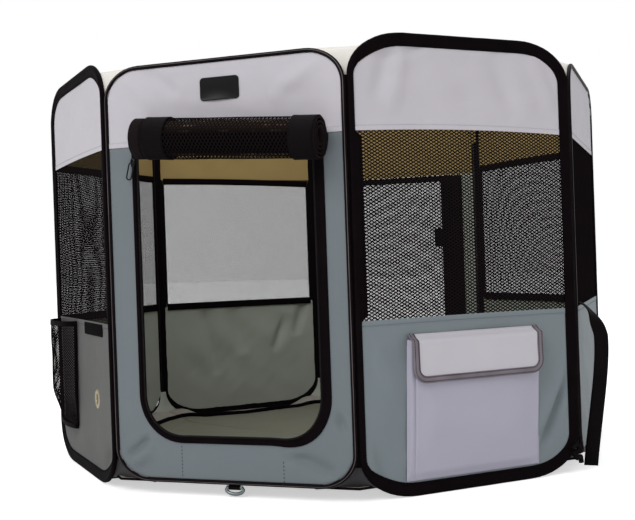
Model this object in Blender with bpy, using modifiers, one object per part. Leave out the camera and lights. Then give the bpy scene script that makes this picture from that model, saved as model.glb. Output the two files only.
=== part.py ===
"""Eight-sided folding pet playpen: sprung wire hoops in taped edges carry fabric and mesh walls.

The pen stands on z = 0 with its middle on the Z axis and its front door facing -Y.
Every panel is drawn in its own frame: X along the panel, Y up, Z outwards.
"""

import math
from typing import NamedTuple

import bmesh
import bpy
from mathutils import Matrix, Vector

# Driving dimensions of the pen, in metres
SIDE = 0.356
CORNER_TURN = math.radians(45)
APOTHEM = SIDE / (2 * math.tan(CORNER_TURN / 2))
EDGE_GAP = 0.0015
TALL_TOP = 0.610
TALL_BOTTOM = 0.0
SHORT_TOP = 0.5905
SHORT_BOTTOM = 0.0175
BAND_SPLIT = 0.4793
LOWER_SPLIT = 0.2340
WEB_TOP = 0.5870
WEB_BOTTOM = 0.0190
WEB_OVERLAP = 0.0007
WEB_CLEAR = 0.0002
FOLD_FACE = 0.0040

# Cloth, tape and fitting gaps
CLOTH = 0.0010
NET = 0.0008
TAPE = 0.0012
GAP = 0.0003
OUTER_FACE = CLOTH / 2 + GAP
NET_STRAND = 0.0050
BIND_PLY = 0.0010
BIND_KNEE = 0.0042
BIND_END = 0.0012
BIND_NOSE = 0.0019

# Doors: each opening reaches up to the seam between the upper and lower cloth
DOOR_HALF = 0.1235
DOOR_BOTTOM = 0.0824
DOOR_RADIUS = 0.055
ZIP_WIDTH = 0.0175
ZIP_COVER = 0.009
ZIP_TOP = 0.4775
FLAP_GAP = 0.0006
FLAP_BORDER = 0.012
FLAP_TAPE = 0.0014
SLIDER_HEIGHT = 0.455
SLIDER_SIZE = (0.009, 0.014, 0.004)
SLIDER_BEVEL = 0.0012
PULL_SIZE = (0.010, 0.023)
PULL_CORNER = 0.003
PULL_RADIUS = 0.0010
BRIDGE_RADIUS = 0.0008
BRIDGE_REACH = 0.0050
BRIDGE_ROUND = 0.0010

# Rolled front door and the bands that hold it
ROLL_RADIUS = 0.0283
ROLL_LENGTH = 0.2850
ROLL_HEIGHT = 0.4793
ROLL_OFFSET = 0.0174
ROLL_TILT = math.radians(-3.6)
ROLL_TURNS = 3.5
ROLL_PITCH = 0.0055
ROLL_SHEET = 0.0015
ROLL_STEPS = 12
TIE_WIDTH = 0.033
TIE_THICKNESS = 0.0015
TIE_PLACES = (-0.0752, 0.1345)

# Pockets, patches and small fittings
POCKET_WIDTH = 0.213
POCKET_BOTTOM = 0.0215
POCKET_TOP = 0.2050
POCKET_DEPTH = 0.0130
POCKET_ROUND = 0.004
FLAP_WIDTH = 0.207
FLAP_TOP = 0.2130
FLAP_DROP = 0.0630
FLAP_SHOULDER = 0.0055
FLAP_CORNER = 0.014
BOTTLE_CENTRE = -0.090
BOTTLE_HALF = 0.060
BOTTLE_BOTTOM = 0.062
BOTTLE_TOP = 0.230
BOTTLE_DEPTH = 0.027
BOTTLE_ROUND = 0.012
GROMMET_AT = (0.0845, 0.1205)
GROMMET_BORE = 0.0070
GROMMET_RIM = 0.0130
GROMMET_WALL = 0.0012
GROMMET_FLANGE = 0.0011
GROMMET_SLOPE = 0.0030
PATCH_BOX = (0.020, 0.130, 0.214, 0.232)
PATCH_CORNER = 0.002
LABEL_SIZE = (0.057, 0.031)
LABEL_CORNER = 0.005
LABEL_AT = (0.0005, 0.5490)
TAB_SIZE = (0.024, 0.038)
TAB_CORNER = 0.003
TAB_AT = (-0.098, 0.350)
RING_WIDTH = 0.026
RING_DROP = 0.0088
RING_RADIUS = 0.0013
RING_CORNER = 0.0035
RING_BAR = (0.0134, -0.0050)
LOOP_WIDTH = 0.016
LOOP_TOP = 0.0300
LOOP_PLY = 0.0007
LOOP_SLACK = 0.0006
STRAP_AT = -0.150
STRAP_TOP = 0.240
STRAP_WIDTH = 0.020
STRAP_THICKNESS = 0.0016
STRAP_END = 0.003
STRAP_STEPS = 12
STRAP_BOW = 0.020
STRAP_BOW_SHAPE = (0.50, 1.1)
STRAP_TWIST = math.radians(90)
STRAP_TURNED = (0.02, 0.20)

# The floor sheet lies flat and turns up to the panels at its rim
FLOOR_THICKNESS = 0.0012
FLOOR_RIM = 0.0090
FLOOR_TURN_UP = 0.045
FLOOR_RIM_HEIGHT = 0.0165


class Edge(NamedTuple):
    """A hoop's outline and the tape folded round its wire."""

    top: float
    bottom: float
    corner: tuple
    segments: int
    tape: float
    thick: float
    wire: float
    wire_at: float
    cloth_inset: float


class Panel(NamedTuple):
    """One side of the pen, in order counter-clockwise from the front."""

    name: str
    edge: Edge
    door: bool


WIDE_EDGE = Edge(TALL_TOP, TALL_BOTTOM, (0.084, 0.058), 4, 0.018, 0.0036, 0.0020, 0.0038, 0.0075)
PIPED_EDGE = Edge(SHORT_TOP, SHORT_BOTTOM, (0.054, 0.046), 3, 0.009, 0.0035, 0.0019, 0.0034, 0.0063)

PANELS = (
    Panel("front", PIPED_EDGE, True),
    Panel("front_right", WIDE_EDGE, False),
    Panel("right", PIPED_EDGE, False),
    Panel("back_right", WIDE_EDGE, False),
    Panel("back", PIPED_EDGE, True),
    Panel("back_left", WIDE_EDGE, False),
    Panel("left", PIPED_EDGE, False),
    Panel("front_left", WIDE_EDGE, False),
)

# Fold hinge of each panel: the panel that carries it, the end it turns on, and the face its axis lies in
FOLD_HINGES = (
    ("front_right", "front", -1, 0),
    ("right", "front_right", -1, -1),
    ("back_right", "right", -1, 1),
    ("back", "back_right", -1, -1),
    ("front_left", "front", 1, -1),
    ("left", "front_left", 1, 1),
    ("back_left", "left", 1, -1),
)

FINISHES = {
    "steel": ((0.42, 0.43, 0.45), 0.35, 0.9),
    "black_tape": ((0.012, 0.010, 0.011), 0.75, 0.0),
    "piping": ((0.012, 0.011, 0.011), 0.35, 0.0),
    "light_cloth": ((0.52, 0.51, 0.55), 0.85, 0.0),
    "grey_cloth": ((0.17, 0.21, 0.24), 0.85, 0.0),
    "mesh": ((0.02, 0.018, 0.018), 0.8, 0.0),
    "floor_cloth": ((0.13, 0.13, 0.10), 0.85, 0.0),
    "pocket_cloth": ((0.45, 0.44, 0.51), 0.85, 0.0),
    "flap_cloth": ((0.62, 0.60, 0.64), 0.85, 0.0),
    "metal": ((0.75, 0.75, 0.73), 0.25, 1.0),
}


# Turns a flat outline drawn in outward and upward axes so that its thickness runs along the panel
SECTION_TURN = Matrix.Rotation(-math.pi / 2, 4, "Y")


def clear_scene():
    """Empties the scene, so that the pen is the only thing in it."""
    for thing in list(bpy.data.objects):
        bpy.data.objects.remove(thing)


def make_collection(name):
    """Makes a collection in the scene."""
    made = bpy.data.collections.new(name)
    bpy.context.scene.collection.children.link(made)
    return made


def finish(name, part):
    """Makes one part's own material from a named finish."""
    colour, roughness, metallic = FINISHES[name]
    made = bpy.data.materials.new(f"{part}_{name}")
    made.use_nodes = True
    shader = made.node_tree.nodes["Principled BSDF"]
    shader.inputs["Base Color"].default_value = (*colour, 1.0)
    shader.inputs["Roughness"].default_value = roughness
    shader.inputs["Metallic"].default_value = metallic
    made.diffuse_color = (*colour, 1.0)
    return made


class Workshop:
    """Holds the collections and the panels' frames, and puts finished pieces in their place."""

    def __init__(self):
        self.parts = make_collection("pet_playpen")
        self.helpers = make_collection("helpers")
        self.frames = {}
        self.worlds = {}

    def add(self, name, data, finish_name, frame, at=(0, 0, 0), turn=None):
        """Makes an object of mesh or curve data, placed in a frame."""
        made = bpy.data.objects.new(name, data)
        data.materials.append(finish(finish_name, name))
        self.parts.objects.link(made)
        self.seat(made, frame, at, turn)
        return made

    def seat(self, made, frame, at, turn=None):
        """Parents an object to a frame's empty, at a place and a turn in the panel's own axes."""
        empty, start = self.frames[frame]
        made.parent = empty
        local = Matrix.Translation(Vector(at) - start)
        made.matrix_basis = local @ turn if turn else local

    def helper(self, name, data):
        """Makes a guide or a cutter, which is no part of the pen."""
        made = bpy.data.objects.new(name, data)
        self.helpers.objects.link(made)
        made.hide_render = True
        made.display_type = "WIRE"
        return made

    def add_frame(self, name, world, start, carrier=None):
        """Makes an empty on a joint's axis. Start is the axis's place in the panel's own axes."""
        empty = bpy.data.objects.new(f"{name}_axis", None)
        empty.empty_display_size = 0.03
        self.parts.objects.link(empty)
        if carrier:
            empty.parent = self.frames[carrier][0]
            empty.matrix_basis = self.worlds[carrier].inverted() @ world
        else:
            empty.matrix_basis = world
        self.frames[name] = (empty, Vector(start))
        self.worlds[name] = world

    def add_panel_joint(self, name, panel, at):
        """Makes an empty for a piece that moves on a panel, with its axis at a place on the panel."""
        start = self.frames[panel][1]
        world = self.worlds[panel] @ Matrix.Translation(Vector(at) - start)
        self.add_frame(name, world, at, panel)


def panel_centre_frame(index):
    """World matrix of a panel's own axes, with the origin under the middle of its wall."""
    heading = index * CORNER_TURN
    along = Vector((math.cos(heading), math.sin(heading), 0))
    outwards = Vector((math.sin(heading), -math.cos(heading), 0))
    rows = Matrix((along, Vector((0, 0, 1)), outwards)).transposed()
    return Matrix.Translation(outwards * APOTHEM) @ rows.to_4x4()


def fold_axis(end, face):
    """Place of a fold axis in a panel's own axes: at one end, on its middle, inner or outer face."""
    along = SIDE / 2 + face * FOLD_FACE * math.tan(CORNER_TURN / 2)
    return (end * along, 0.0, face * FOLD_FACE)


def build_frames(shop):
    """Sets up every panel's empty on its fold axis, carried by its neighbour."""
    index = {panel.name: number for number, panel in enumerate(PANELS)}
    shop.add_frame("front", panel_centre_frame(0), (0, 0, 0))
    for name, carrier, end, face in FOLD_HINGES:
        start = fold_axis(end, face)
        world = panel_centre_frame(index[name]) @ Matrix.Translation(start)
        shop.add_frame(name, world, start, carrier)


def corner_arc(radii, segments):
    """Points of a quarter ellipse from its side tangent to its top tangent, about its centre."""
    angles = [math.pi / 2 * step / segments for step in range(segments + 1)]
    return [(radii[0] * math.cos(turn), radii[1] * math.sin(turn)) for turn in angles]


def hoop_outline(edge, inset):
    """A hoop's outline, drawn in by an inset, counter-clockwise from its lower right corner."""
    half = SIDE / 2 - EDGE_GAP - inset
    radii = (edge.corner[0] - inset, edge.corner[1] - inset)
    arc = corner_arc(radii, edge.segments)
    right, top = half - radii[0], edge.top - inset - radii[1]
    low = edge.bottom + inset + radii[1]
    upper_right = [(right + x, top + y) for x, y in arc]
    upper_left = [(-x, y) for x, y in reversed(upper_right)]
    lower_left = [(-right - x, low - y) for x, y in arc]
    lower_right = [(-x, y) for x, y in reversed(lower_left)]
    return upper_right + upper_left + lower_left + lower_right


def poly_curve(name, outlines, closed=True):
    """A curve of straight runs through the points of each outline."""
    made = bpy.data.curves.new(name, "CURVE")
    made.dimensions = "3D"
    for points in outlines:
        spline = made.splines.new("POLY")
        spline.points.add(len(points) - 1)
        for point, place in zip(spline.points, points):
            point.co = (*place, 1.0) if len(place) == 3 else (*place, 0.0, 1.0)
        spline.use_cyclic_u = closed
    return made


def flat_piece(name, outlines, thickness):
    """A flat plate from closed outlines, where one inside another is a hole."""
    made = poly_curve(name, outlines)
    made.dimensions = "2D"
    made.fill_mode = "BOTH"
    made.extrude = thickness / 2
    return made


def tube(name, points, radius, closed, sides=6):
    """A wire or cord along a path, with filled ends."""
    made = poly_curve(name, [points], closed)
    made.bevel_depth = radius
    made.bevel_resolution = (sides - 4) // 2
    made.use_fill_caps = not closed
    return made


def rounded_box(half_x, half_y, radius, segments=3):
    """A rounded rectangle's outline about the origin."""
    arc = corner_arc((radius, radius), segments)
    right = [(half_x - radius + x, half_y - radius + y) for x, y in arc]
    upper = right + [(-x, y) for x, y in reversed(right)]
    return upper + [(x, -y) for x, y in reversed(upper)]


def solid_mesh(source):
    """A curve helper's evaluated shape as a closed mesh. The helper is removed."""
    seen = source.evaluated_get(bpy.context.evaluated_depsgraph_get())
    mesh = bpy.data.meshes.new_from_object(seen)
    bm = bmesh.new()
    bm.from_mesh(mesh)
    bmesh.ops.remove_doubles(bm, verts=bm.verts, dist=0.00001)
    bmesh.ops.recalc_face_normals(bm, faces=bm.faces)
    bm.to_mesh(mesh)
    bm.free()
    bpy.data.objects.remove(source)
    return mesh


def plate_mesh(shop, outlines, thickness):
    """A flat plate as a closed mesh, for cutting and joining."""
    source = shop.helper("plate", flat_piece("plate", outlines, thickness))
    bpy.context.view_layer.update()
    return solid_mesh(source)


def boolean(target, tool, operation):
    """Adds a Boolean modifier to a piece."""
    modifier = target.modifiers.new(operation.lower(), "BOOLEAN")
    modifier.operation = operation
    modifier.object = tool
    modifier.solver = "EXACT"


def web_outline(edge, side, upper):
    """The cloth web outside a hoop's corner, up to the line where two panels meet."""
    half = SIDE / 2 - EDGE_GAP
    radii = (edge.corner[0] - WEB_OVERLAP, edge.corner[1] - WEB_OVERLAP)
    arc = corner_arc(radii, edge.segments)
    centre_x = half - edge.corner[0]
    if upper:
        centre_y, limit, sense = edge.top - edge.corner[1], WEB_TOP, 1
    else:
        centre_y, limit, sense = edge.bottom + edge.corner[1], WEB_BOTTOM, -1
    reach = (limit - centre_y) * sense
    kept = [(x, y) for x, y in arc if y < reach - WEB_CLEAR]
    last, after = kept[-1], arc[len(kept)]
    share = (reach - last[1]) / (after[1] - last[1])
    kept.append((last[0] + (after[0] - last[0]) * share, reach))
    line = half - WEB_CLEAR
    points = [(centre_x + x, centre_y + sense * y) for x, y in kept]
    points += [(line, limit), (line, centre_y)]
    return [(side * x, y) for x, y in points]


def build_hoop(shop, panel):
    """A sprung steel wire hoop and the folded tape round it, with the cloth webs at its corners."""
    edge = panel.edge
    wire = tube("wire", hoop_outline(edge, edge.wire_at), edge.wire, True)
    shop.add(f"{panel.name}_hoop_wire", wire, "steel", panel.name)

    lip = CLOTH / 2 + GAP
    tape, thick = edge.tape, edge.thick
    outer = [(-tape, lip + BIND_PLY), (-BIND_KNEE, thick), (0.0, BIND_NOSE)]
    inner = [(-tape, lip), (-BIND_KNEE, thick - BIND_PLY), (-BIND_END, BIND_NOSE - GAP)]
    section = outer + [(x, -y) for x, y in reversed(outer)]
    section += [(x, -y) for x, y in inner] + [(x, y) for x, y in reversed(inner)]
    profile = shop.helper(f"{panel.name}_tape_section", poly_curve("section", [section]))
    path = poly_curve("path", [hoop_outline(edge, 0.0)])
    path.twist_mode = "Z_UP"
    path.bevel_mode = "OBJECT"
    path.bevel_object = profile
    source = shop.helper("hoop_tape", path)
    bpy.context.view_layer.update()
    mesh = solid_mesh(source)
    name = "black_tape" if edge is WIDE_EDGE else "piping"
    binding = shop.add(f"{panel.name}_hoop_binding", mesh, name, panel.name)
    for side in (-1, 1):
        for upper in (False, True):
            outline = web_outline(edge, side, upper)
            web = shop.helper(f"{panel.name}_web", plate_mesh(shop, [outline], CLOTH))
            shop.seat(web, panel.name, (0, 0, 0))
            boolean(binding, web, "UNION")


def clip_outline(outline, low, high):
    """The stretch of a panel's outline between two heights, closed straight across."""
    kept = []
    count = len(outline)
    for number in range(count):
        here, after = outline[number], outline[(number + 1) % count]
        if low <= here[1] <= high:
            kept.append(here)
        for limit in sorted((low, high), reverse=after[1] < here[1]):
            if (here[1] - limit) * (after[1] - limit) < 0:
                share = (limit - here[1]) / (after[1] - here[1])
                kept.append((here[0] + (after[0] - here[0]) * share, limit))
    return kept


def door_outline(grow, top):
    """A door's outline with round lower corners, from its upper right corner clockwise."""
    half = DOOR_HALF + grow
    radius = DOOR_RADIUS + grow
    low = DOOR_BOTTOM - grow
    arc = corner_arc((radius, radius), 5)
    right = [(half - radius + x, low + radius - y) for x, y in arc]
    left = [(-x, y) for x, y in reversed(right)]
    return [(half, top)] + right + left + [(-half, top)]


def build_cloth(shop, panel):
    """A panel's upper and lower cloth. A door panel's lower cloth runs round its opening."""
    outline = hoop_outline(panel.edge, panel.edge.cloth_inset)
    upper = clip_outline(outline, BAND_SPLIT, panel.edge.top)
    piece = flat_piece("upper", [upper], CLOTH)
    shop.add(f"{panel.name}_upper_fabric", piece, "light_cloth", panel.name)

    if panel.door:
        lower = clip_outline(outline, panel.edge.bottom, BAND_SPLIT - GAP)
        corner = max(range(len(lower)), key=lambda number: (lower[number][1], -lower[number][0]))
        lower = lower[corner:] + lower[:corner]
        opening = door_outline(ZIP_COVER, BAND_SPLIT - GAP)
        outlines = [lower + opening]
    else:
        outlines = [clip_outline(outline, panel.edge.bottom, LOWER_SPLIT)]
    if panel.name == "front_left":
        hole = circle(GROMMET_BORE + GROMMET_WALL + 2 * GAP, 16)
        outlines.append([(x + GROMMET_AT[0], y + GROMMET_AT[1]) for x, y in hole])
    piece = flat_piece("lower", outlines, CLOTH)
    shop.add(f"{panel.name}_lower_fabric", piece, "grey_cloth", panel.name)


def net_sheet(width, height, across, up):
    """An open sheet of diamond gaps, centred on the origin."""
    bm = bmesh.new()
    count = across + up
    side = count / 2 / math.sqrt(2)
    bmesh.ops.create_grid(bm, x_segments=count, y_segments=count, size=side)
    bmesh.ops.rotate(bm, matrix=Matrix.Rotation(math.pi / 4, 3, "Z"), verts=bm.verts)
    for reach, axis in ((across / 2, Vector((1, 0, 0))), (up / 2, Vector((0, 1, 0)))):
        for sense in (-1, 1):
            parts = list(bm.verts) + list(bm.edges) + list(bm.faces)
            bmesh.ops.bisect_plane(
                bm, geom=parts, dist=0.0001, plane_co=axis * reach * sense, plane_no=axis * sense,
                clear_outer=True,
            )
    bmesh.ops.scale(bm, vec=(width / across, height / up, 1), verts=bm.verts)
    gaps = list(bm.faces)
    bmesh.ops.inset_individual(bm, faces=gaps, thickness=NET_STRAND / 2, use_even_offset=True)
    bmesh.ops.delete(bm, geom=gaps, context="FACES")
    return bm


def solidify(made, thickness, offset=0.0):
    """Gives an open sheet its thickness."""
    modifier = made.modifiers.new("thickness", "SOLIDIFY")
    modifier.thickness = thickness
    modifier.offset = offset
    modifier.use_even_offset = True


def mesh_from(bm, name):
    """A mesh from a bmesh, which is freed."""
    made = bpy.data.meshes.new(name)
    bm.to_mesh(made)
    bm.free()
    return made


def build_window(shop, panel):
    """The see-through mesh between a panel's upper and lower cloth."""
    width = SIDE - 2 * (EDGE_GAP + panel.edge.cloth_inset)
    height = BAND_SPLIT - LOWER_SPLIT - 2 * GAP
    net = mesh_from(net_sheet(width, height, 4, 4), "net")
    middle = (0, (BAND_SPLIT + LOWER_SPLIT) / 2, 0)
    made = shop.add(f"{panel.name}_mesh_window", net, "mesh", panel.name, middle)
    solidify(made, NET)


def build_zip(shop, panel):
    """The zip's tape round a door opening, its slider and the cord loop that pulls it."""
    outer = door_outline(ZIP_WIDTH, ZIP_TOP)
    inner = door_outline(0.0, ZIP_TOP)
    tape = flat_piece("tape", [outer + list(reversed(inner))], TAPE)
    face = OUTER_FACE + TAPE
    shop.add(f"{panel.name}_zip_tape", tape, "black_tape", panel.name, (0, 0, OUTER_FACE + TAPE / 2))

    along = -(DOOR_HALF + ZIP_COVER)
    depth = SLIDER_SIZE[2]
    middle = face + GAP + depth / 2
    slider = f"{panel.name}_zip_slider"
    shop.add_panel_joint(slider, panel.name, (along, SLIDER_HEIGHT, middle))
    bm = bmesh.new()
    bmesh.ops.create_cube(bm, size=1.0)
    bmesh.ops.scale(bm, vec=SLIDER_SIZE, verts=bm.verts)
    body = shop.add(slider, mesh_from(bm, "slider"), "metal", slider, (along, SLIDER_HEIGHT, middle))
    rounding = body.modifiers.new("rounding", "BEVEL")
    rounding.width = SLIDER_BEVEL
    rounding.segments = 1
    cord_height = depth / 2 + GAP + PULL_RADIUS
    crown = cord_height + PULL_RADIUS + GAP + BRIDGE_RADIUS
    foot = depth / 2 - SLIDER_BEVEL
    knee = (0, BRIDGE_REACH - BRIDGE_ROUND, crown - BRIDGE_ROUND)
    arch = [(0, BRIDGE_REACH, foot), knee, (0, BRIDGE_REACH / 2, crown)]
    arch += [(0, -y, z) for _, y, z in reversed(arch)]
    source = shop.helper("bridge", tube("bridge", arch, BRIDGE_RADIUS, False))
    bpy.context.view_layer.update()
    bridge = shop.helper(f"{slider}_bridge", solid_mesh(source))
    shop.seat(bridge, slider, (along, SLIDER_HEIGHT, middle))
    boolean(body, bridge, "UNION")

    pull = f"{panel.name}_zip_pull"
    at = (along, SLIDER_HEIGHT, middle + cord_height)
    start = shop.worlds[slider] @ Matrix.Translation((0, 0, cord_height))
    shop.add_frame(pull, start, at, slider)
    half_x, half_y = PULL_SIZE[0] / 2 - PULL_RADIUS, PULL_SIZE[1] / 2 - PULL_RADIUS
    loop = [(x, y - half_y) for x, y in rounded_box(half_x, half_y, PULL_CORNER, 2)]
    shop.add(pull, tube("pull", loop, PULL_RADIUS, True), "black_tape", pull, at)


def build_back_door(shop):
    """The closed mesh door in the back panel: a taped border and its net, hung from its top seam."""
    name = "back_door_flap"
    top = BAND_SPLIT - 2 * GAP
    shop.add_panel_joint(name, "back", (0, BAND_SPLIT, FLAP_TAPE / 2))
    outer = door_outline(-FLAP_GAP, top)
    inner = door_outline(-FLAP_GAP - FLAP_BORDER, top - FLAP_BORDER)
    door = shop.add(name, plate_mesh(shop, [outer, inner], FLAP_TAPE), "mesh", name)

    middle = FLAP_GAP + FLAP_BORDER / 2
    low, high = DOOR_BOTTOM + middle, top - FLAP_BORDER / 2
    bm = net_sheet(2 * (DOOR_HALF - middle), high - low, 3, 5)
    bmesh.ops.translate(bm, vec=(0, (low + high) / 2, 0), verts=bm.verts)
    net = shop.helper("back_door_net", mesh_from(bm, "net"))
    solidify(net, NET)
    shape = shop.helper("back_door_shape", plate_mesh(shop, [door_outline(-middle, BAND_SPLIT)], 0.01))
    boolean(net, shape, "INTERSECT")
    for cutter in (net, shape):
        shop.seat(cutter, name, (0, 0, 0))
    boolean(door, net, "UNION")

    tab = flat_piece("tab", [rounded_box(TAB_SIZE[0] / 2, TAB_SIZE[1] / 2, TAB_CORNER)], TAPE)
    place = (*TAB_AT, FLAP_TAPE / 2 + GAP + TAPE / 2)
    shop.add("back_door_tab", tab, "black_tape", name, place)


def circle(radius, steps, start=0.0):
    """Points of a circle about the origin."""
    turns = [start + 2 * math.pi * step / steps for step in range(steps)]
    return [(radius * math.cos(turn), radius * math.sin(turn)) for turn in turns]


def build_door_roll(shop):
    """The front door rolled up above its opening, and the two bands that hold the roll."""
    outer, inner = [], []
    for step in range(int(ROLL_TURNS * ROLL_STEPS) + 1):
        turn = math.pi + 2 * math.pi * step / ROLL_STEPS
        radius = ROLL_RADIUS - ROLL_PITCH * step / ROLL_STEPS
        outer.append((radius * math.cos(turn), radius * math.sin(turn)))
        radius -= ROLL_SHEET
        inner.append((radius * math.cos(turn), radius * math.sin(turn)))
    turn = Matrix.Rotation(ROLL_TILT, 4, "Z") @ SECTION_TURN
    centre_out = OUTER_FACE + TAPE + TIE_THICKNESS + 2 * GAP + ROLL_RADIUS
    roll = flat_piece("roll", [outer + inner[::-1]], ROLL_LENGTH)
    shop.add("front_door_roll", roll, "mesh", "front", (ROLL_OFFSET, ROLL_HEIGHT, centre_out), turn)

    bore = ROLL_RADIUS + GAP
    rings = [circle(bore + TIE_THICKNESS, 2 * ROLL_STEPS), circle(bore, 2 * ROLL_STEPS)]
    for name, along in zip(("left_roll_tie", "right_roll_tie"), TIE_PLACES):
        tie = flat_piece("tie", rings, TIE_WIDTH)
        height = ROLL_HEIGHT + (along - ROLL_OFFSET) * math.tan(ROLL_TILT)
        shop.add(name, tie, "black_tape", "front", (along, height, centre_out), turn)


def build_pocket(shop):
    """The front right panel's cloth pocket, open at its top under a hinged flap."""
    bm = bmesh.new()
    bmesh.ops.create_cube(bm, size=1.0)
    height = POCKET_TOP - POCKET_BOTTOM
    bmesh.ops.scale(bm, vec=(POCKET_WIDTH, height, POCKET_DEPTH), verts=bm.verts)
    open_sides = [face for face in bm.faces if face.normal.z < -0.5 or face.normal.y > 0.5]
    bmesh.ops.delete(bm, geom=open_sides, context="FACES")
    middle = (0, POCKET_BOTTOM + height / 2, OUTER_FACE + POCKET_DEPTH / 2)
    pocket = shop.add("pocket", mesh_from(bm, "pocket"), "pocket_cloth", "front_right", middle)
    rounding = pocket.modifiers.new("rounding", "BEVEL")
    rounding.width = POCKET_ROUND
    rounding.segments = 2
    solidify(pocket, CLOTH, -1.0)

    hinge = (0, FLAP_TOP, OUTER_FACE + CLOTH)
    shop.add_panel_joint("pocket_flap", "front_right", hinge)
    over = OUTER_FACE + POCKET_DEPTH + CLOTH
    section = [(0.0, 0.0), (-FLAP_SHOULDER, over - hinge[2]), (-FLAP_DROP, over - hinge[2])]
    bm = bmesh.new()
    half = FLAP_WIDTH / 2
    rows = [[bm.verts.new((x, y, z)) for x in (-half, half)] for y, z in section]
    for above, below in zip(rows, rows[1:]):
        bm.faces.new((above[0], below[0], below[1], above[1]))
    bmesh.ops.bevel(bm, geom=rows[-1], offset=FLAP_CORNER, segments=4, profile=0.5, affect="VERTICES")
    flap = shop.add("pocket_flap", mesh_from(bm, "flap"), "flap_cloth", "pocket_flap", hinge)
    solidify(flap, CLOTH)


def build_bottle_pocket(shop):
    """The round mesh pocket low on the front left panel, open at its top."""
    bm = bmesh.new()
    bmesh.ops.create_cone(bm, cap_ends=True, segments=20, radius1=1, radius2=1, depth=1)
    bmesh.ops.rotate(bm, matrix=Matrix.Rotation(-math.pi / 2, 3, "X"), verts=bm.verts)
    parts = list(bm.verts) + list(bm.edges) + list(bm.faces)
    inwards = Vector((0, 0, -1))
    bmesh.ops.bisect_plane(bm, geom=parts, plane_co=(0, 0, 0), plane_no=inwards, clear_outer=True)
    mouth = [face for face in bm.faces if face.normal.y > 0.5]
    bmesh.ops.delete(bm, geom=mouth, context="FACES")
    height = BOTTLE_TOP - BOTTLE_BOTTOM
    bmesh.ops.scale(bm, vec=(BOTTLE_HALF, height, BOTTLE_DEPTH), verts=bm.verts)
    bmesh.ops.remove_doubles(bm, verts=bm.verts, dist=0.00001)
    place = (BOTTLE_CENTRE, BOTTLE_BOTTOM + height / 2, OUTER_FACE + GAP / 2)
    made = shop.add("bottle_pocket", mesh_from(bm, "bottle"), "mesh", "front_left", place)
    rounding = made.modifiers.new("rounding", "BEVEL")
    rounding.width = BOTTLE_ROUND
    rounding.segments = 2
    rounding.angle_limit = math.radians(50)
    solidify(made, CLOTH, -1.0)


def build_grommet(shop):
    """The drainage grommet pressed through the front left panel's lower cloth."""
    lip = OUTER_FACE + GROMMET_FLANGE
    half = [(GROMMET_BORE, lip), (GROMMET_RIM - GROMMET_SLOPE, lip), (GROMMET_RIM, OUTER_FACE + GAP)]
    half += [(GROMMET_RIM, OUTER_FACE), (GROMMET_BORE + GROMMET_WALL, OUTER_FACE)]
    section = half + [(x, -y) for x, y in reversed(half)]
    bm = bmesh.new()
    verts = [bm.verts.new((x, 0, z)) for x, z in section]
    for here, after in zip(verts, verts[1:] + verts[:1]):
        bm.edges.new((here, after))
    made = shop.add("grommet", mesh_from(bm, "grommet"), "metal", "front_left", (*GROMMET_AT, 0))
    turned = made.modifiers.new("turned", "SCREW")
    turned.steps = 16
    turned.render_steps = 16
    turned.use_merge_vertices = True
    turned.merge_threshold = 0.00001


def build_patches(shop):
    """The flat pieces sewn on the cloth: the fastening strip and the bare label."""
    left, right, low, high = PATCH_BOX
    outline = rounded_box((right - left) / 2, (high - low) / 2, PATCH_CORNER, 2)
    strip = flat_piece("strip", [outline], TAPE)
    middle = ((left + right) / 2, (low + high) / 2, OUTER_FACE + TAPE / 2)
    shop.add("fastening_strip", strip, "black_tape", "front_left", middle)
    outline = rounded_box(LABEL_SIZE[0] / 2, LABEL_SIZE[1] / 2, LABEL_CORNER)
    label = flat_piece("label", [outline], CLOTH)
    shop.add("blank_label", label, "black_tape", "front", (*LABEL_AT, OUTER_FACE + CLOTH / 2))


def build_anchor(shop):
    """The metal ring under the front panel and the folded tape that it hangs in."""
    bar_height, bar_out = RING_BAR
    shop.add_panel_joint("anchor_ring", "front", (0, bar_height, bar_out))
    outline = rounded_box(RING_WIDTH / 2, RING_DROP / 2, RING_CORNER)
    path = [(x, y - RING_DROP / 2) for x, y in outline]
    ring = tube("ring", path, RING_RADIUS, True)
    shop.add("anchor_ring", ring, "metal", "anchor_ring", (0, bar_height, bar_out))

    bore = RING_RADIUS + LOOP_SLACK
    around = circle(bore + LOOP_PLY, 12, math.radians(75))
    under = [point for point in around if point[1] < bore * 0.8]
    neck, top = bore + 2 * LOOP_PLY, LOOP_TOP - bar_height
    outline = under + [(LOOP_PLY, neck), (LOOP_PLY, top), (-LOOP_PLY, top), (-LOOP_PLY, neck)]
    loop = flat_piece("loop", [outline, circle(bore, 12)], LOOP_WIDTH)
    shop.add("anchor_loop", loop, "black_tape", "front", (0, bar_height, bar_out), SECTION_TURN)


def build_strap(shop):
    """The webbing strap sewn near the right panel's front edge, hanging in a bow with a half twist."""
    shop.add_panel_joint("strap", "right", (STRAP_AT, STRAP_TOP, OUTER_FACE))
    bm = bmesh.new()
    rows = []
    for middle, turn in strap_route():
        across = Vector((math.cos(turn), 0, math.sin(turn))) * STRAP_WIDTH / 2
        rows.append((bm.verts.new(middle - across), bm.verts.new(middle + across)))
    for (left, right), (next_left, next_right) in zip(rows, rows[1:]):
        bm.faces.new((left, next_left, right))
        bm.faces.new((right, next_left, next_right))
    strap = shop.add("strap", mesh_from(bm, "strap"), "black_tape", "strap")
    solidify(strap, STRAP_THICKNESS)


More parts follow.
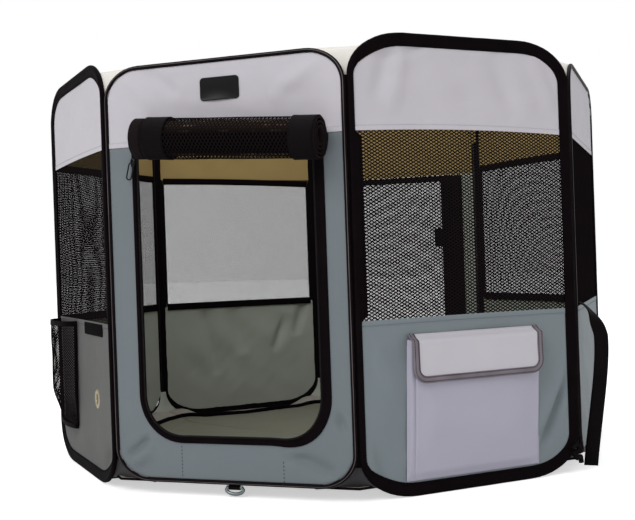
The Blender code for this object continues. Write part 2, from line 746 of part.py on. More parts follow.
def strap_route():
    """Places down the middle of the strap and its turn there, from its sewn end to its free end."""
    rest = OUTER_FACE + STRAP_THICKNESS / 2 + GAP
    low_down, full = STRAP_BOW_SHAPE
    start, end = STRAP_TURNED
    route = []
    for step in range(STRAP_STEPS + 1):
        fall = step / STRAP_STEPS
        turned = min(1.0, max(0.0, (fall - start) / (end - start)))
        bow = STRAP_BOW * math.sin(math.pi * fall ** low_down) ** full
        settle = (STRAP_WIDTH / 2) * min(1.0, fall / end)
        height = STRAP_TOP + (STRAP_END - STRAP_TOP) * fall
        route.append((Vector((STRAP_AT, height, rest + bow + settle)), STRAP_TWIST * turned))
    return route


def build_floor(shop):
    """The floor sheet: flat on the ground, turned up to the panels all round."""
    bm = bmesh.new()
    reach = (APOTHEM - FLOOR_RIM) / math.cos(CORNER_TURN / 2)
    bmesh.ops.create_circle(bm, cap_ends=True, segments=8, radius=reach)
    bmesh.ops.rotate(bm, matrix=Matrix.Rotation(CORNER_TURN / 2, 3, "Z"), verts=bm.verts)
    rim = list(bm.verts)
    bmesh.ops.inset_individual(bm, faces=list(bm.faces), thickness=FLOOR_TURN_UP, use_even_offset=True)
    for vert in rim:
        vert.co.z = FLOOR_RIM_HEIGHT
    bmesh.ops.recalc_face_normals(bm, faces=bm.faces)
    if sum(face.normal.z for face in bm.faces) < 0:
        bmesh.ops.reverse_faces(bm, faces=bm.faces)
    upright = Matrix.Rotation(-math.pi / 2, 4, "X")
    made = shop.add("floor", mesh_from(bm, "floor"), "floor_cloth", "front", (0, 0, -APOTHEM), upright)
    solidify(made, FLOOR_THICKNESS, 1.0)


def main():
    """Builds every piece of the pen."""
    clear_scene()
    shop = Workshop()
    build_frames(shop)
    for panel in PANELS:
        build_hoop(shop, panel)
        build_cloth(shop, panel)
        if panel.door:
            build_zip(shop, panel)
        else:
            build_window(shop, panel)
    build_back_door(shop)
    build_door_roll(shop)
    build_pocket(shop)
    build_bottle_pocket(shop)
    build_grommet(shop)
    build_patches(shop)
    build_anchor(shop)
    build_strap(shop)
    build_floor(shop)


main()
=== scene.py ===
"""Dresses the foldable pet playpen: taped hoops, cloth and knitted walls, doors, pockets and floor sheet.

Every piece is drawn on its own side of the pen, in metres: u along the side, v up and w outwards.
"""

import logging
import math
from collections.abc import Sequence
from dataclasses import dataclass, field
from enum import Enum

import bmesh
import bpy
import numpy as np
from mathutils import Matrix, Vector

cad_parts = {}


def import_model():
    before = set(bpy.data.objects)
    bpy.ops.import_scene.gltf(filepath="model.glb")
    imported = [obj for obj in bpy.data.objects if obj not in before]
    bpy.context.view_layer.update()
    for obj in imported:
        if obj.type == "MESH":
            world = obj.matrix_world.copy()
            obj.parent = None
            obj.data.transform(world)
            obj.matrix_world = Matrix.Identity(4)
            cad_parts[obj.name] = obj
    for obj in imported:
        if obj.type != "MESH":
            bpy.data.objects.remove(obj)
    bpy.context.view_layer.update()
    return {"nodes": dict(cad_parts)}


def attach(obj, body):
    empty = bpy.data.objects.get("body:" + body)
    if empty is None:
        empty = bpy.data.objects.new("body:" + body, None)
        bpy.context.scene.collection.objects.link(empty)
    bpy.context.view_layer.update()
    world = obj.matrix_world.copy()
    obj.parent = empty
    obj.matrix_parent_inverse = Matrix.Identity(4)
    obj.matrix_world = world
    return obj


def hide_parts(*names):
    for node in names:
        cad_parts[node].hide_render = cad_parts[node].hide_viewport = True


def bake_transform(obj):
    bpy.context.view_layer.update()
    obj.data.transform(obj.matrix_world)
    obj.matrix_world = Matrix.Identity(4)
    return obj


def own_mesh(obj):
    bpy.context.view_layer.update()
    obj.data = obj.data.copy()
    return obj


Piece = bpy.types.Object
Socket = bpy.types.NodeSocket
Pair = tuple[float, float]
Triple = tuple[float, float, float]

LOG = logging.getLogger("pet_playpen")
CLOTH_UV = "cloth"
UP_FACING = (0.0, 0.0, 1.0)


@dataclass(frozen=True)
class PenPlan:
    """The pen's main sizes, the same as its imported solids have."""

    side: float = 0.356
    turn: float = math.radians(45)
    edge_gap: float = 0.0015
    high_seam: float = 0.4793
    low_seam: float = 0.2340
    web_top: float = 0.5905
    web_bottom: float = 0.0165
    face: float = 0.0008
    door_half: float = 0.1235
    door_foot: float = 0.0824
    door_round: float = 0.055
    zip_width: float = 0.0175
    zip_top: float = 0.4775
    left_tape: Pair = (0.0028, 0.0120)
    foot_tape: Pair = (0.0, 0.0100)
    right_tape: Pair = (0.0060, 0.0205)

    @property
    def apothem(self) -> float:
        """Distance from the pen's middle to each side."""
        return self.side / (2 * math.tan(self.turn / 2))

    def place(self, index: int) -> Matrix:
        """Where a side stands.

        Args:
            index: The side's number, counter-clockwise from the front.

        Returns:
            The matrix that takes the side's own axes to the pen's.
        """
        heading = index * self.turn
        along = Vector((math.cos(heading), math.sin(heading), 0))
        outwards = Vector((math.sin(heading), -math.cos(heading), 0))
        rows = Matrix((along, Vector((0, 0, 1)), outwards)).transposed()
        return Matrix.Translation(outwards * self.apothem) @ rows.to_4x4()

    def door_line(self, grow: float, top: float, steps: int = 10) -> np.ndarray:
        """The outline of a door opening, as an open path.

        Args:
            grow: How far outside the opening's own edge the line runs.
            top: Height of both its ends.
            steps: Steps in each round corner.

        Returns:
            Points from the upper right end, round the foot, to the upper left end.
        """
        half, radius, low = self.door_half + grow, self.door_round + grow, self.door_foot - grow
        turns = np.linspace(0, math.pi / 2, steps + 1)
        rise = np.linspace(top, low + radius, 16)[:-1]
        right = np.stack([np.full_like(rise, half), rise], 1)
        bend = np.stack([half - radius + radius * np.cos(turns), low + radius - radius * np.sin(turns)], 1)
        sill = np.linspace(half - radius, 0, 8)[1:-1]
        foot = np.stack([sill, np.full_like(sill, low)], 1)
        first = np.concatenate([right, bend, foot])
        middle = np.array([[0.0, low]])
        return np.concatenate([first, middle, first[::-1] * (-1, 1)])

    def tape_line(self, grow: float, top: float, pulled: bool, steps: int = 14) -> np.ndarray:
        """A line along the zip tape. The open door's tape is pulled about, and its width varies.

        Args:
            grow: How far outside the opening's edge the line would run on tape of full width.
            top: Height of both its ends.
            pulled: True for the open door.
            steps: Steps in each round corner.

        Returns:
            Points in the order of the door's own line.
        """
        line = self.door_line(0.0, top, steps)
        if not pulled:
            return self.door_line(grow, top, steps)
        away = (self.door_line(0.01, top, steps) - line) / 0.01
        side = (1 + np.sign(line[:, 0])) / 2
        jamb = smooth((np.abs(line[:, 0]) - 0.060) / 0.055)
        shares = np.stack([jamb * (1 - side), 1 - jamb, jamb * side])
        inner, outer = np.array([self.left_tape, self.foot_tape, self.right_tape]).T @ shares
        return line + away * (inner + (outer - inner) * grow / self.zip_width)[:, None]


@dataclass(frozen=True)
class HoopForm:
    """A hoop's outline and the section of the tape folded over its wire."""

    top: float
    bottom: float
    corner: Pair
    tape: float
    bulge: float
    wire_at: float
    flat: float
    tuck: float

    def outline(self, half: float, inset: float = 0.0, stride: float = 0.012) -> np.ndarray:
        """Points round the hoop.

        Args:
            half: Half of the hoop's outer width.
            inset: How far inside the outer edge the line runs.
            stride: Greatest step on the straight stretches.

        Returns:
            A closed line of points, counter-clockwise.
        """
        radii = (self.corner[0] - inset, self.corner[1] - inset)
        turns = np.linspace(0, math.pi / 2, 13)
        bend = np.stack([radii[0] * np.cos(turns), radii[1] * np.sin(turns)], 1)
        right, high = half - inset - radii[0], self.top - inset - radii[1]
        low = self.bottom + inset + radii[1]
        upper = bend + (right, high)
        lower = bend[::-1] * (1, -1) + (right, low)
        ring = np.concatenate([upper, upper[::-1] * (-1, 1), lower[::-1] * (-1, 1), lower])
        return fill_gaps(ring, stride)

    def rim(self, u: np.ndarray, half: float, inset: float, upper: bool) -> np.ndarray:
        """Height of the hoop's top or bottom above each place along the side.

        Args:
            u: Places along the side.
            half: Half of the hoop's outer width.
            inset: How far inside the outer edge.
            upper: True for the top.

        Returns:
            The heights.
        """
        reach, rise = self.corner[0] - inset, self.corner[1] - inset
        over = np.clip((np.abs(u) - (half - inset - reach)) / reach, 0, 1)
        drop = rise * (1 - np.sqrt(1 - over ** 2))
        return self.top - inset - drop if upper else self.bottom + inset + drop

    def edge(self, v: np.ndarray, half: float) -> np.ndarray:
        """How far out the hoop's outer edge is at each height.

        Args:
            v: Heights.
            half: Half of the hoop's outer width.

        Returns:
            The distances from the side's middle.
        """
        above = np.clip((v - (self.top - self.corner[1])) / self.corner[1], 0, 1)
        below = np.clip((self.bottom + self.corner[1] - v) / self.corner[1], 0, 1)
        share = np.maximum(above, below)
        return half - self.corner[0] * (1 - np.sqrt(1 - share ** 2))

    def section(self) -> np.ndarray:
        """The folded tape's section: how far inside the hoop's edge, and its height off the cloth."""
        wire, bulge, flat, tape = self.wire_at, self.bulge, self.flat, self.tape
        upper = [
            (0.0, 0.25 * bulge),
            (0.1 * wire, 0.5 * bulge),
            (0.4 * wire, 0.84 * bulge),
            (wire, bulge),
            (1.55 * wire, 0.84 * bulge),
            (2.0 * wire, 0.5 * bulge + 0.35 * flat),
            (2.0 * wire + 0.25 * (tape - 2 * wire), flat),
            (tape - 0.0004, 0.92 * flat),
            (tape, 0.5 * flat),
        ]
        line = upper + [(x, -y) for x, y in reversed(upper)]
        return np.array(line)


class HoopKind(Enum):
    """The two kinds of hoop, which alternate round the pen."""

    WIDE = HoopForm(0.610, 0.0, (0.084, 0.058), 0.018, 0.0036, 0.0038, 0.0014, 0.0068)
    PIPED = HoopForm(0.5905, 0.0175, (0.054, 0.046), 0.0060, 0.0030, 0.0028, 0.0011, 0.0040)


@dataclass(frozen=True)
class Side:
    """One of the pen's eight sides."""

    name: str
    index: int
    kind: HoopKind
    door: bool = False

    @property
    def body(self) -> str:
        """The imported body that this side's pieces ride on."""
        return f"{self.name}_panel"

    @property
    def form(self) -> HoopForm:
        """The outline of this side's hoop."""
        return self.kind.value


SIDES = (
    Side("front", 0, HoopKind.PIPED, True),
    Side("front_right", 1, HoopKind.WIDE),
    Side("right", 2, HoopKind.PIPED),
    Side("back_right", 3, HoopKind.WIDE),
    Side("back", 4, HoopKind.PIPED, True),
    Side("back_left", 5, HoopKind.WIDE),
    Side("left", 6, HoopKind.PIPED),
    Side("front_left", 7, HoopKind.WIDE),
)
# The seam where the loop of sides is left open.
OPEN_SEAM = ("back", "back_left")
# Which way the front door lies from each side next to it.
DOOR_SENSE = {"front_right": -1, "front_left": 1}
# The finer cells of the net on the far sides.
FAR_NET = {"cell_width": 0.0041, "cell_height": 0.00225, "strand_width": 0.00078}


def fill_gaps(ring: np.ndarray, stride: float) -> np.ndarray:
    """Adds points on a closed line's long runs.

    Args:
        ring: The line's points.
        stride: Greatest step that is left.

    Returns:
        The line with the points added.
    """
    filled = []
    for here, after in zip(ring, np.roll(ring, -1, axis=0)):
        length = float(np.linalg.norm(after - here))
        if length < 1e-9:
            continue
        count = max(1, math.ceil(length / stride))
        filled.extend(here + (after - here) * step / count for step in range(count))
    return np.array(filled)


def running(path: np.ndarray) -> np.ndarray:
    """How far along a line each of its points is."""
    return np.concatenate([[0], np.cumsum(np.linalg.norm(np.diff(path, axis=0), axis=1))])


def resample(path: np.ndarray, count: int) -> np.ndarray:
    """Spreads points evenly along an open line.

    Args:
        path: The line's points.
        count: How many points to give back.

    Returns:
        Evenly spaced points on the line, its two ends among them.
    """
    run = running(path)
    wanted = np.linspace(0, run[-1], count)
    return np.stack([np.interp(wanted, run, path[:, axis]) for axis in range(path.shape[1])], 1)


def unit(vectors: np.ndarray) -> np.ndarray:
    """Vectors of the same direction, each 1 long."""
    return vectors / np.maximum(np.linalg.norm(vectors, axis=-1, keepdims=True), 1e-12)


def smooth(value: np.ndarray) -> np.ndarray:
    """A soft step from 0 to 1."""
    held = np.clip(value, 0, 1)
    return held * held * (3 - 2 * held)


def bowed(place: np.ndarray, bow: Triple) -> np.ndarray:
    """How far a seam strays from its height: up in the middle, up at one end, and as a whole."""
    middle, end, whole = bow
    return middle * (1 - place ** 2) + end * place + whole


def ripple(u: np.ndarray, v: np.ndarray, size: float, height: float, seed: int) -> np.ndarray:
    """Soft waves with no repeat, the same ones each time.

    Args:
        u: Places along the cloth.
        v: Places up the cloth.
        size: Rough distance between waves.
        height: Rough height of the waves.
        seed: Picks one set of waves.

    Returns:
        The height at each place.
    """
    rng = np.random.default_rng(seed)
    total = np.zeros(np.broadcast(u, v).shape)
    for _ in range(5):
        heading, phase = rng.uniform(0, math.pi), rng.uniform(0, 2 * math.pi)
        pace = 2 * math.pi / (size * rng.uniform(0.6, 1.7))
        total += np.sin(pace * (u * math.cos(heading) + v * math.sin(heading)) + phase)
    return height * total / 5


@dataclass(frozen=True)
class Fold:
    """A soft ridge in the cloth, or a hollow where its height is below zero."""

    start: Pair
    end: Pair
    width: float
    height: float

    def lift(self, u: np.ndarray, v: np.ndarray) -> np.ndarray:
        """How far the fold lifts the cloth.

        Args:
            u: Places along the side.
            v: Heights.

        Returns:
            The lift at each place.
        """
        run = np.subtract(self.end, self.start)
        length = float(np.hypot(*run))
        du, dv = u - self.start[0], v - self.start[1]
        along = (du * run[0] + dv * run[1]) / length ** 2
        across = (dv * run[0] - du * run[1]) / length
        fade = np.clip(1 - np.abs(2 * along - 1) ** 3, 0, 1)
        return self.height * fade * np.exp(-((across / self.width) ** 2))


def show(name: str, data: bpy.types.ID) -> Piece:
    """Puts a mesh, a curve, a lamp or a camera into the scene."""
    made = bpy.data.objects.new(name, data)
    bpy.context.scene.collection.objects.link(made)
    return made


class Nodes:
    """Adds sockets, nodes and links to a tree in plain calls."""

    def __init__(self, tree: bpy.types.NodeTree) -> None:
        """Takes the tree that the nodes go into."""
        self.tree = tree

    def add_sockets(self, inputs: dict[str, object], outputs: dict[str, str]) -> dict[str, str]:
        """Gives the tree its inputs and outputs.

        Args:
            inputs: Starting value of each input, or its kind where it starts empty.
            outputs: Kind of each output.

        Returns:
            The identifier of each input.
        """
        kinds = {float: "Float", int: "Int", tuple: "Color"}
        found = {}
        for label, start in inputs.items():
            empty = isinstance(start, str)
            kind = start if empty else kinds[type(start)]
            made = self.tree.interface.new_socket(label, in_out="INPUT", socket_type=f"NodeSocket{kind}")
            if not empty:
                made.default_value = start
            found[label] = made.identifier
        for label, kind in outputs.items():
            self.tree.interface.new_socket(label, in_out="OUTPUT", socket_type=f"NodeSocket{kind}")
        return found

    def add(self, kind: str, inputs: dict | None = None, **settings: object) -> bpy.types.Node:
        """Adds a node.

        Args:
            kind: Blender's name for the node.
            inputs: Sockets or plain values, by input name or number.
            **settings: The node's own properties.

        Returns:
            The node.
        """
        node = self.tree.nodes.new(kind)
        for name, value in settings.items():
            setattr(node, name, value)
        for name, value in (inputs or {}).items():
            if isinstance(value, Socket):
                self.link(value, node.inputs[name])
            else:
                node.inputs[name].default_value = value
        return node

    def get(self, kind: str, inputs: dict | None = None, **settings: object) -> Socket:
        """Adds a node as add does, and gives its first output."""
        return self.add(kind, inputs, **settings).outputs[0]

    def link(self, source: Socket, target: Socket) -> None:
        """Links an output to an input."""
        self.tree.links.new(source, target)

    def math(self, operation: str, *values: object) -> Socket:
        """Adds a Math node with its inputs in order, and gives its output."""
        return self.get("ShaderNodeMath", dict(enumerate(values)), operation=operation)

    def times(self, first: object, second: object) -> Socket:
        """One number times another."""
        return self.math("MULTIPLY", first, second)

    def plus(self, first: object, second: object) -> Socket:
        """One number plus another."""
        return self.math("ADD", first, second)

    def minus(self, first: object, second: object) -> Socket:
        """One number less another."""
        return self.math("SUBTRACT", first, second)

    def over(self, first: object, second: object) -> Socket:
        """One number divided by another."""
        return self.math("DIVIDE", first, second)


class ShapeTree(Nodes):
    """A Geometry Nodes tree with named inputs."""

    def __init__(self, name: str, inputs: dict[str, object]) -> None:
        """Makes the tree and its sockets.

        Args:
            name: The tree's name.
            inputs: Its own inputs, as add_sockets takes them.
        """
        super().__init__(bpy.data.node_groups.new(name, "GeometryNodeTree"))
        geometry = {"Geometry": "Geometry"}
        self.sockets = self.add_sockets({**geometry, **inputs}, geometry)
        self.given = self.add("NodeGroupInput").outputs
        self.end = self.add("NodeGroupOutput")

    def finish(self, geometry: Socket, material: Socket) -> None:
        """Ends the tree with real geometry in one material."""
        real = self.get("GeometryNodeRealizeInstances", {0: geometry})
        done = self.get("GeometryNodeSetMaterial", {"Geometry": real, "Material": material})
        self.link(done, self.end.inputs[0])

    def run(self, source: Piece, name: str, **values: object) -> Piece:
        """Runs the tree on an object and keeps the result as a plain mesh.

        Args:
            source: The object that the tree works on. It is removed.
            name: Name of the piece.
            **values: The tree's inputs, with _ for each space.

        Returns:
            The piece.
        """
        modifier = source.modifiers.new("shape", "NODES")
        modifier.node_group = self.tree
        for label, value in values.items():
            modifier[self.sockets[label.replace("_", " ").capitalize()]] = value
        source.update_tag()
        seen = source.evaluated_get(bpy.context.evaluated_depsgraph_get())
        mesh = bpy.data.meshes.new_from_object(seen)
        mesh.name = name
        bpy.data.objects.remove(source)
        return show(name, mesh)


def make_net_tree() -> ShapeTree:
    """Two crossing sets of strands, laid over a surface by its flat map.

    Returns:
        The tree. Its strands end on the map's outline, and none is laid where the map is empty.
    """
    cell = {"Cell width": 0.0082, "Cell height": 0.0045, "Strand width": 0.0015, "Strand thickness": 0.0004}
    tree = ShapeTree("knitted net", {"Width": 0.3, "Height": 0.2, **cell, "Points": 10, "Yarn": "Material"})
    given = tree.given
    slope = tree.math("ARCTAN2", given["Cell height"], given["Cell width"])
    cosine, sine = tree.math("COSINE", slope), tree.math("SINE", slope)
    pitch = tree.times(given["Cell width"], sine)
    wide, tall = tree.times(given["Width"], sine), tree.times(given["Height"], cosine)
    count = tree.math("FLOOR", tree.over(tree.plus(wide, tall), pitch))
    sizes = {"Size X": tree.minus(count, 1.0), "Size Y": 1.0}
    grid = tree.get("GeometryNodeMeshGrid", {**sizes, "Vertices X": count, "Vertices Y": given["Points"]})

    ends = tree.add("GeometryNodeInputMeshEdgeVertices").outputs
    both = {0: ends["Position 1"], 1: ends["Position 2"]}
    gap = tree.get("ShaderNodeVectorMath", both, operation="SUBTRACT")
    rung = tree.math("GREATER_THAN", tree.math("ABSOLUTE", tree.get("ShaderNodeSeparateXYZ", {0: gap})), 0.5)
    apart = tree.get("GeometryNodeDeleteGeometry", {0: grid, 1: rung}, domain="EDGE", mode="EDGE_FACE")
    strands = tree.get("GeometryNodeMeshToCurve", {0: apart})

    place = tree.add("ShaderNodeSeparateXYZ", {0: tree.get("GeometryNodeInputPosition")}).outputs
    offset, share = tree.times(place[0], pitch), tree.plus(place[1], 0.5)
    half_wide, half_tall = (tree.times(given[label], 0.5) for label in ("Width", "Height"))
    sideways, upwards = tree.times(offset, sine), tree.times(offset, cosine)
    left = tree.over(tree.minus(sideways, half_wide), cosine)
    right = tree.over(tree.plus(sideways, half_wide), cosine)
    bottom = tree.over(tree.minus(tree.times(half_tall, -1.0), upwards), sine)
    top = tree.over(tree.minus(half_tall, upwards), sine)
    first, last = tree.math("MAXIMUM", left, bottom), tree.math("MINIMUM", right, top)
    run = tree.math("MULTIPLY_ADD", share, tree.minus(last, first), first)
    flat_u = tree.minus(tree.times(run, cosine), sideways)
    flat_v = tree.math("MULTIPLY_ADD", run, sine, upwards)

    here = tree.get("GeometryNodeInputPosition")
    facing = tree.get("GeometryNodeInputNormal")
    chart = tree.get("GeometryNodeInputNamedAttribute", {0: CLOTH_UV}, data_type="FLOAT_VECTOR")
    look = {"Mesh": given["Geometry"], "UV Map": chart, "Sample UV": here}
    sampler = "GeometryNodeSampleUVSurface"
    joined = tree.add("GeometryNodeJoinGeometry")
    for sense in (1.0, -1.0):
        spot = tree.get("ShaderNodeCombineXYZ", {0: flat_u, 1: tree.times(flat_v, sense)})
        laid = tree.get("GeometryNodeSetPosition", {"Geometry": strands, "Position": spot})
        found = tree.add(sampler, {**look, "Value": here}, data_type="FLOAT_VECTOR").outputs
        faced = tree.get(sampler, {**look, "Value": facing}, data_type="FLOAT_VECTOR")
        held = tree.add("GeometryNodeCaptureAttribute", {0: laid})
        for label, kind in (("place", "VECTOR"), ("facing", "VECTOR"), ("found", "FLOAT")):
            held.capture_items.new(kind, label)
        for number, source in enumerate((found[0], faced, found[1]), 1):
            tree.link(source, held.inputs[number])
        lost = tree.math("LESS_THAN", held.outputs[3], 0.5)
        kept = tree.get("GeometryNodeDeleteGeometry", {0: held.outputs[0], 1: lost})
        moved = tree.get("GeometryNodeSetPosition", {"Geometry": kept, "Position": held.outputs[1]})
        faced = {"Curve": moved, "Normal": held.outputs[2]}
        turned = tree.get("GeometryNodeSetCurveNormal", faced, mode="FREE")
        tree.link(turned, joined.inputs[0])
    strand = {"Width": given["Strand thickness"], "Height": given["Strand width"]}
    section = tree.get("GeometryNodeCurvePrimitiveQuadrilateral", strand)
    swept = {"Curve": joined.outputs[0], "Profile Curve": section, "Fill Caps": True}
    tree.finish(tree.get("GeometryNodeCurveToMesh", swept), given["Yarn"])
    return tree


def make_bead_tree() -> ShapeTree:
    """Small beads along a line, such as stitches or the teeth of a coil zip.

    Returns:
        The tree. Where it is given a lean, every second bead stands to the other side.
    """
    bead = {"Length": 0.0026, "Width": 0.0007, "Height": 0.0007}
    tree = ShapeTree("beads along a line", {"Pitch": 0.0036, **bead, "Lean": 0.0, "Thread": "Material"})
    given = tree.given
    line = {"Curve": given["Geometry"], "Length": given["Pitch"]}
    spots = tree.add("GeometryNodeCurveToPoints", line, mode="LENGTH").outputs
    tangent = spots["Tangent"]
    odd = tree.math("MODULO", tree.get("GeometryNodeInputIndex"), 2.0)
    lean = tree.times(tree.minus(odd, 0.5), given["Lean"])
    sideways = tree.get("ShaderNodeVectorMath", {0: tangent, 1: UP_FACING}, operation="CROSS_PRODUCT")
    aside = tree.get("ShaderNodeVectorMath", {0: sideways, "Scale": lean}, operation="SCALE")
    moved = tree.get("GeometryNodeSetPosition", {"Geometry": spots["Points"], "Offset": aside})
    facing = {"Primary Axis": tangent, "Secondary Axis": UP_FACING}
    axes = tree.get("FunctionNodeAxesToRotation", facing, primary_axis="X", secondary_axis="Z")
    ball = tree.get("GeometryNodeMeshUVSphere", {"Segments": 6, "Rings": 3, "Radius": 0.5})
    size = tree.get("ShaderNodeCombineXYZ", {number: given[label] for number, label in enumerate(bead)})
    laid = {"Points": moved, "Instance": ball, "Rotation": axes, "Scale": size}
    tree.finish(tree.get("GeometryNodeInstanceOnPoints", laid), given["Thread"])
    return tree


def make_tape_tree() -> ShapeTree:
    """A folded tape swept round a hoop, with the small ripples of sewn cloth.

    Returns:
        The tree. The hoop is a flat curve and the section is a curve object.
    """
    ripples = {"Ripple height": 0.0006, "Ripple scale": 55.0, "Seed": 0.0}
    tree = ShapeTree("hoop tape", {"Section": "Object", **ripples, "Tape": "Material"})
    given = tree.given
    upright = tree.get("GeometryNodeSetCurveNormal", {"Curve": given["Geometry"]}, mode="Z_UP")
    along = tree.add("GeometryNodeSplineParameter").outputs["Length"]
    section = tree.add("GeometryNodeObjectInfo", {"Object": given["Section"]}).outputs["Geometry"]
    lines = []
    for label, curve in (("run", upright), ("girth", section)):
        kept = tree.add("GeometryNodeCaptureAttribute", {0: curve})
        kept.capture_items.new("FLOAT", label)
        tree.link(along, kept.inputs[1])
        lines.append(kept.outputs)
    rail, girth = lines
    swept = tree.get("GeometryNodeCurveToMesh", {"Curve": rail[0], "Profile Curve": girth[0]})
    chart = tree.get("ShaderNodeCombineXYZ", {0: rail[1], 1: girth[1]})
    map_kind = {"data_type": "FLOAT2", "domain": "CORNER"}
    stored = {"Geometry": swept, "Name": CLOTH_UV, "Value": chart}
    marked = tree.get("GeometryNodeStoreNamedAttribute", stored, **map_kind)
    waves = {"Scale": given["Ripple scale"], "W": given["Seed"]}
    noise = tree.add("ShaderNodeTexNoise", waves, noise_dimensions="4D").outputs["Color"]
    centred = tree.get("ShaderNodeVectorMath", {0: noise, 1: (0.5,) * 3}, operation="SUBTRACT")
    push = tree.get("ShaderNodeVectorMath", {0: centred, "Scale": given["Ripple height"]}, operation="SCALE")
    rippled = tree.get("GeometryNodeSetPosition", {"Geometry": marked, "Offset": push})
    tree.finish(tree.get("GeometryNodeSetShadeSmooth", {"Geometry": rippled}), given["Tape"])
    return tree


def linear(tone: Sequence[int]) -> tuple[float, float, float, float]:
    """A colour for a shader, from its 0 to 255 screen values."""
    parts = [value / 255 for value in tone]
    curved = [part / 12.92 if part <= 0.04045 else ((part + 0.055) / 1.055) ** 2.4 for part in parts]
    return (*curved, 1.0)


class Pattern(Enum):
    """The patterns that more than one finish uses."""

    WEAVE = "woven threads"
    MOTTLE = "soft mottling"
    RIBS = "tape ribs"
    CREASES = "soft dents"
    RUBBED = "rubbed edges"


@dataclass
class PatternBook:
    """Shader groups for the shared patterns, each built once."""

    groups: dict[Pattern, bpy.types.NodeTree] = field(default_factory=dict)

    def start(
        self, pattern: Pattern, inputs: dict[str, object], outputs: dict[str, str]
    ) -> tuple[Nodes, Sequence[Socket], Sequence[Socket]]:
        """Makes an empty group with its sockets.

        Args:
            pattern: The pattern that the group draws.
            inputs: Its inputs after the place on the piece, as add_sockets takes them.
            outputs: Kind of each output.

        Returns:
            The group's nodes, what comes in and what goes out.
        """
        nodes = Nodes(bpy.data.node_groups.new(pattern.value, "ShaderNodeTree"))
        nodes.add_sockets({"Vector": "Vector", **inputs}, outputs)
        self.groups[pattern] = nodes.tree
        return nodes, nodes.add("NodeGroupInput").outputs, nodes.add("NodeGroupOutput").inputs

    def build(self) -> None:
        """Builds every group."""
        self.build_weave()
        self.build_mottle()
        self.build_ribs()
        self.build_creases()
        self.build_rubbed()

    def build_weave(self) -> None:
        """Over and under threads of a plain weave."""
        nodes, given, end = self.start(Pattern.WEAVE, {"Threads": 1400.0}, {"Height": "Float"})
        counted = nodes.get("ShaderNodeVectorMath", {0: given[0], "Scale": given[1]}, operation="SCALE")
        parts = nodes.add("ShaderNodeSeparateXYZ", {0: counted}).outputs
        waves = [nodes.math("SINE", nodes.times(nodes.math("FRACT", part), math.pi)) for part in parts[:2]]
        cells = nodes.plus(nodes.math("FLOOR", parts[0]), nodes.math("FLOOR", parts[1]))
        over = nodes.times(nodes.math("FRACT", nodes.times(cells, 0.5)), 2.0)
        under = nodes.minus(1.0, over)
        nodes.link(nodes.math("MULTIPLY_ADD", waves[0], over, nodes.times(waves[1], under)), end[0])

    def build_mottle(self) -> None:
        """Uneven dye and soft dirt: the colour lightened and darkened in patches."""
        inputs = {"Color": (0.5, 0.5, 0.5, 1), "Scale": 14.0, "Amount": 0.08}
        nodes, given, end = self.start(Pattern.MOTTLE, inputs, {"Color": "Color"})
        cloud = {"Vector": given[0], "Scale": given[2], "Detail": 6.0, "Roughness": 0.6}
        swing = nodes.minus(nodes.get("ShaderNodeTexNoise", cloud), 0.5)
        value = nodes.math("MULTIPLY_ADD", nodes.times(swing, 2.0), given[3], 1.0)
        nodes.link(nodes.get("ShaderNodeHueSaturation", {"Color": given[1], "Value": value}), end[0])

    def build_ribs(self) -> None:
        """Fine ribs across a tape, with a selvedge along each edge."""
        nodes, given, end = self.start(Pattern.RIBS, {"Ribs": 900.0}, {"Height": "Float"})
        parts = nodes.add("ShaderNodeSeparateXYZ", {0: given[0]}).outputs
        pace = nodes.times(given[1], math.pi)
        ribs, cords = (
            nodes.math("ABSOLUTE", nodes.math("SINE", nodes.times(part, pace))) for part in parts[:2]
        )
        nodes.link(nodes.math("MULTIPLY_ADD", cords, 0.35, ribs), end[0])

    def build_creases(self) -> None:
        """Soft dents of handled cloth."""
        nodes, given, end = self.start(Pattern.CREASES, {"Scale": 13.0}, {"Height": "Float"})
        dents = {"Vector": given[0], "Scale": given[1], "Detail": 1.0, "Roughness": 0.4, "Distortion": 0.4}
        nodes.link(nodes.get("ShaderNodeTexNoise", dents), end[0])

    def build_rubbed(self) -> None:
        """Dull rubbed places on metal."""
        inputs = {"Polish": 0.2, "Rubbing": 0.25}
        nodes, given, end = self.start(Pattern.RUBBED, inputs, {"Roughness": "Float", "Height": "Float"})
        specks = {"Vector": given[0], "Scale": 420.0, "Detail": 5.0, "Roughness": 0.7}
        noise = nodes.get("ShaderNodeTexNoise", specks)
        nodes.link(nodes.math("MULTIPLY_ADD", noise, given[2], given[1]), end[0])
        nodes.link(noise, end[1])


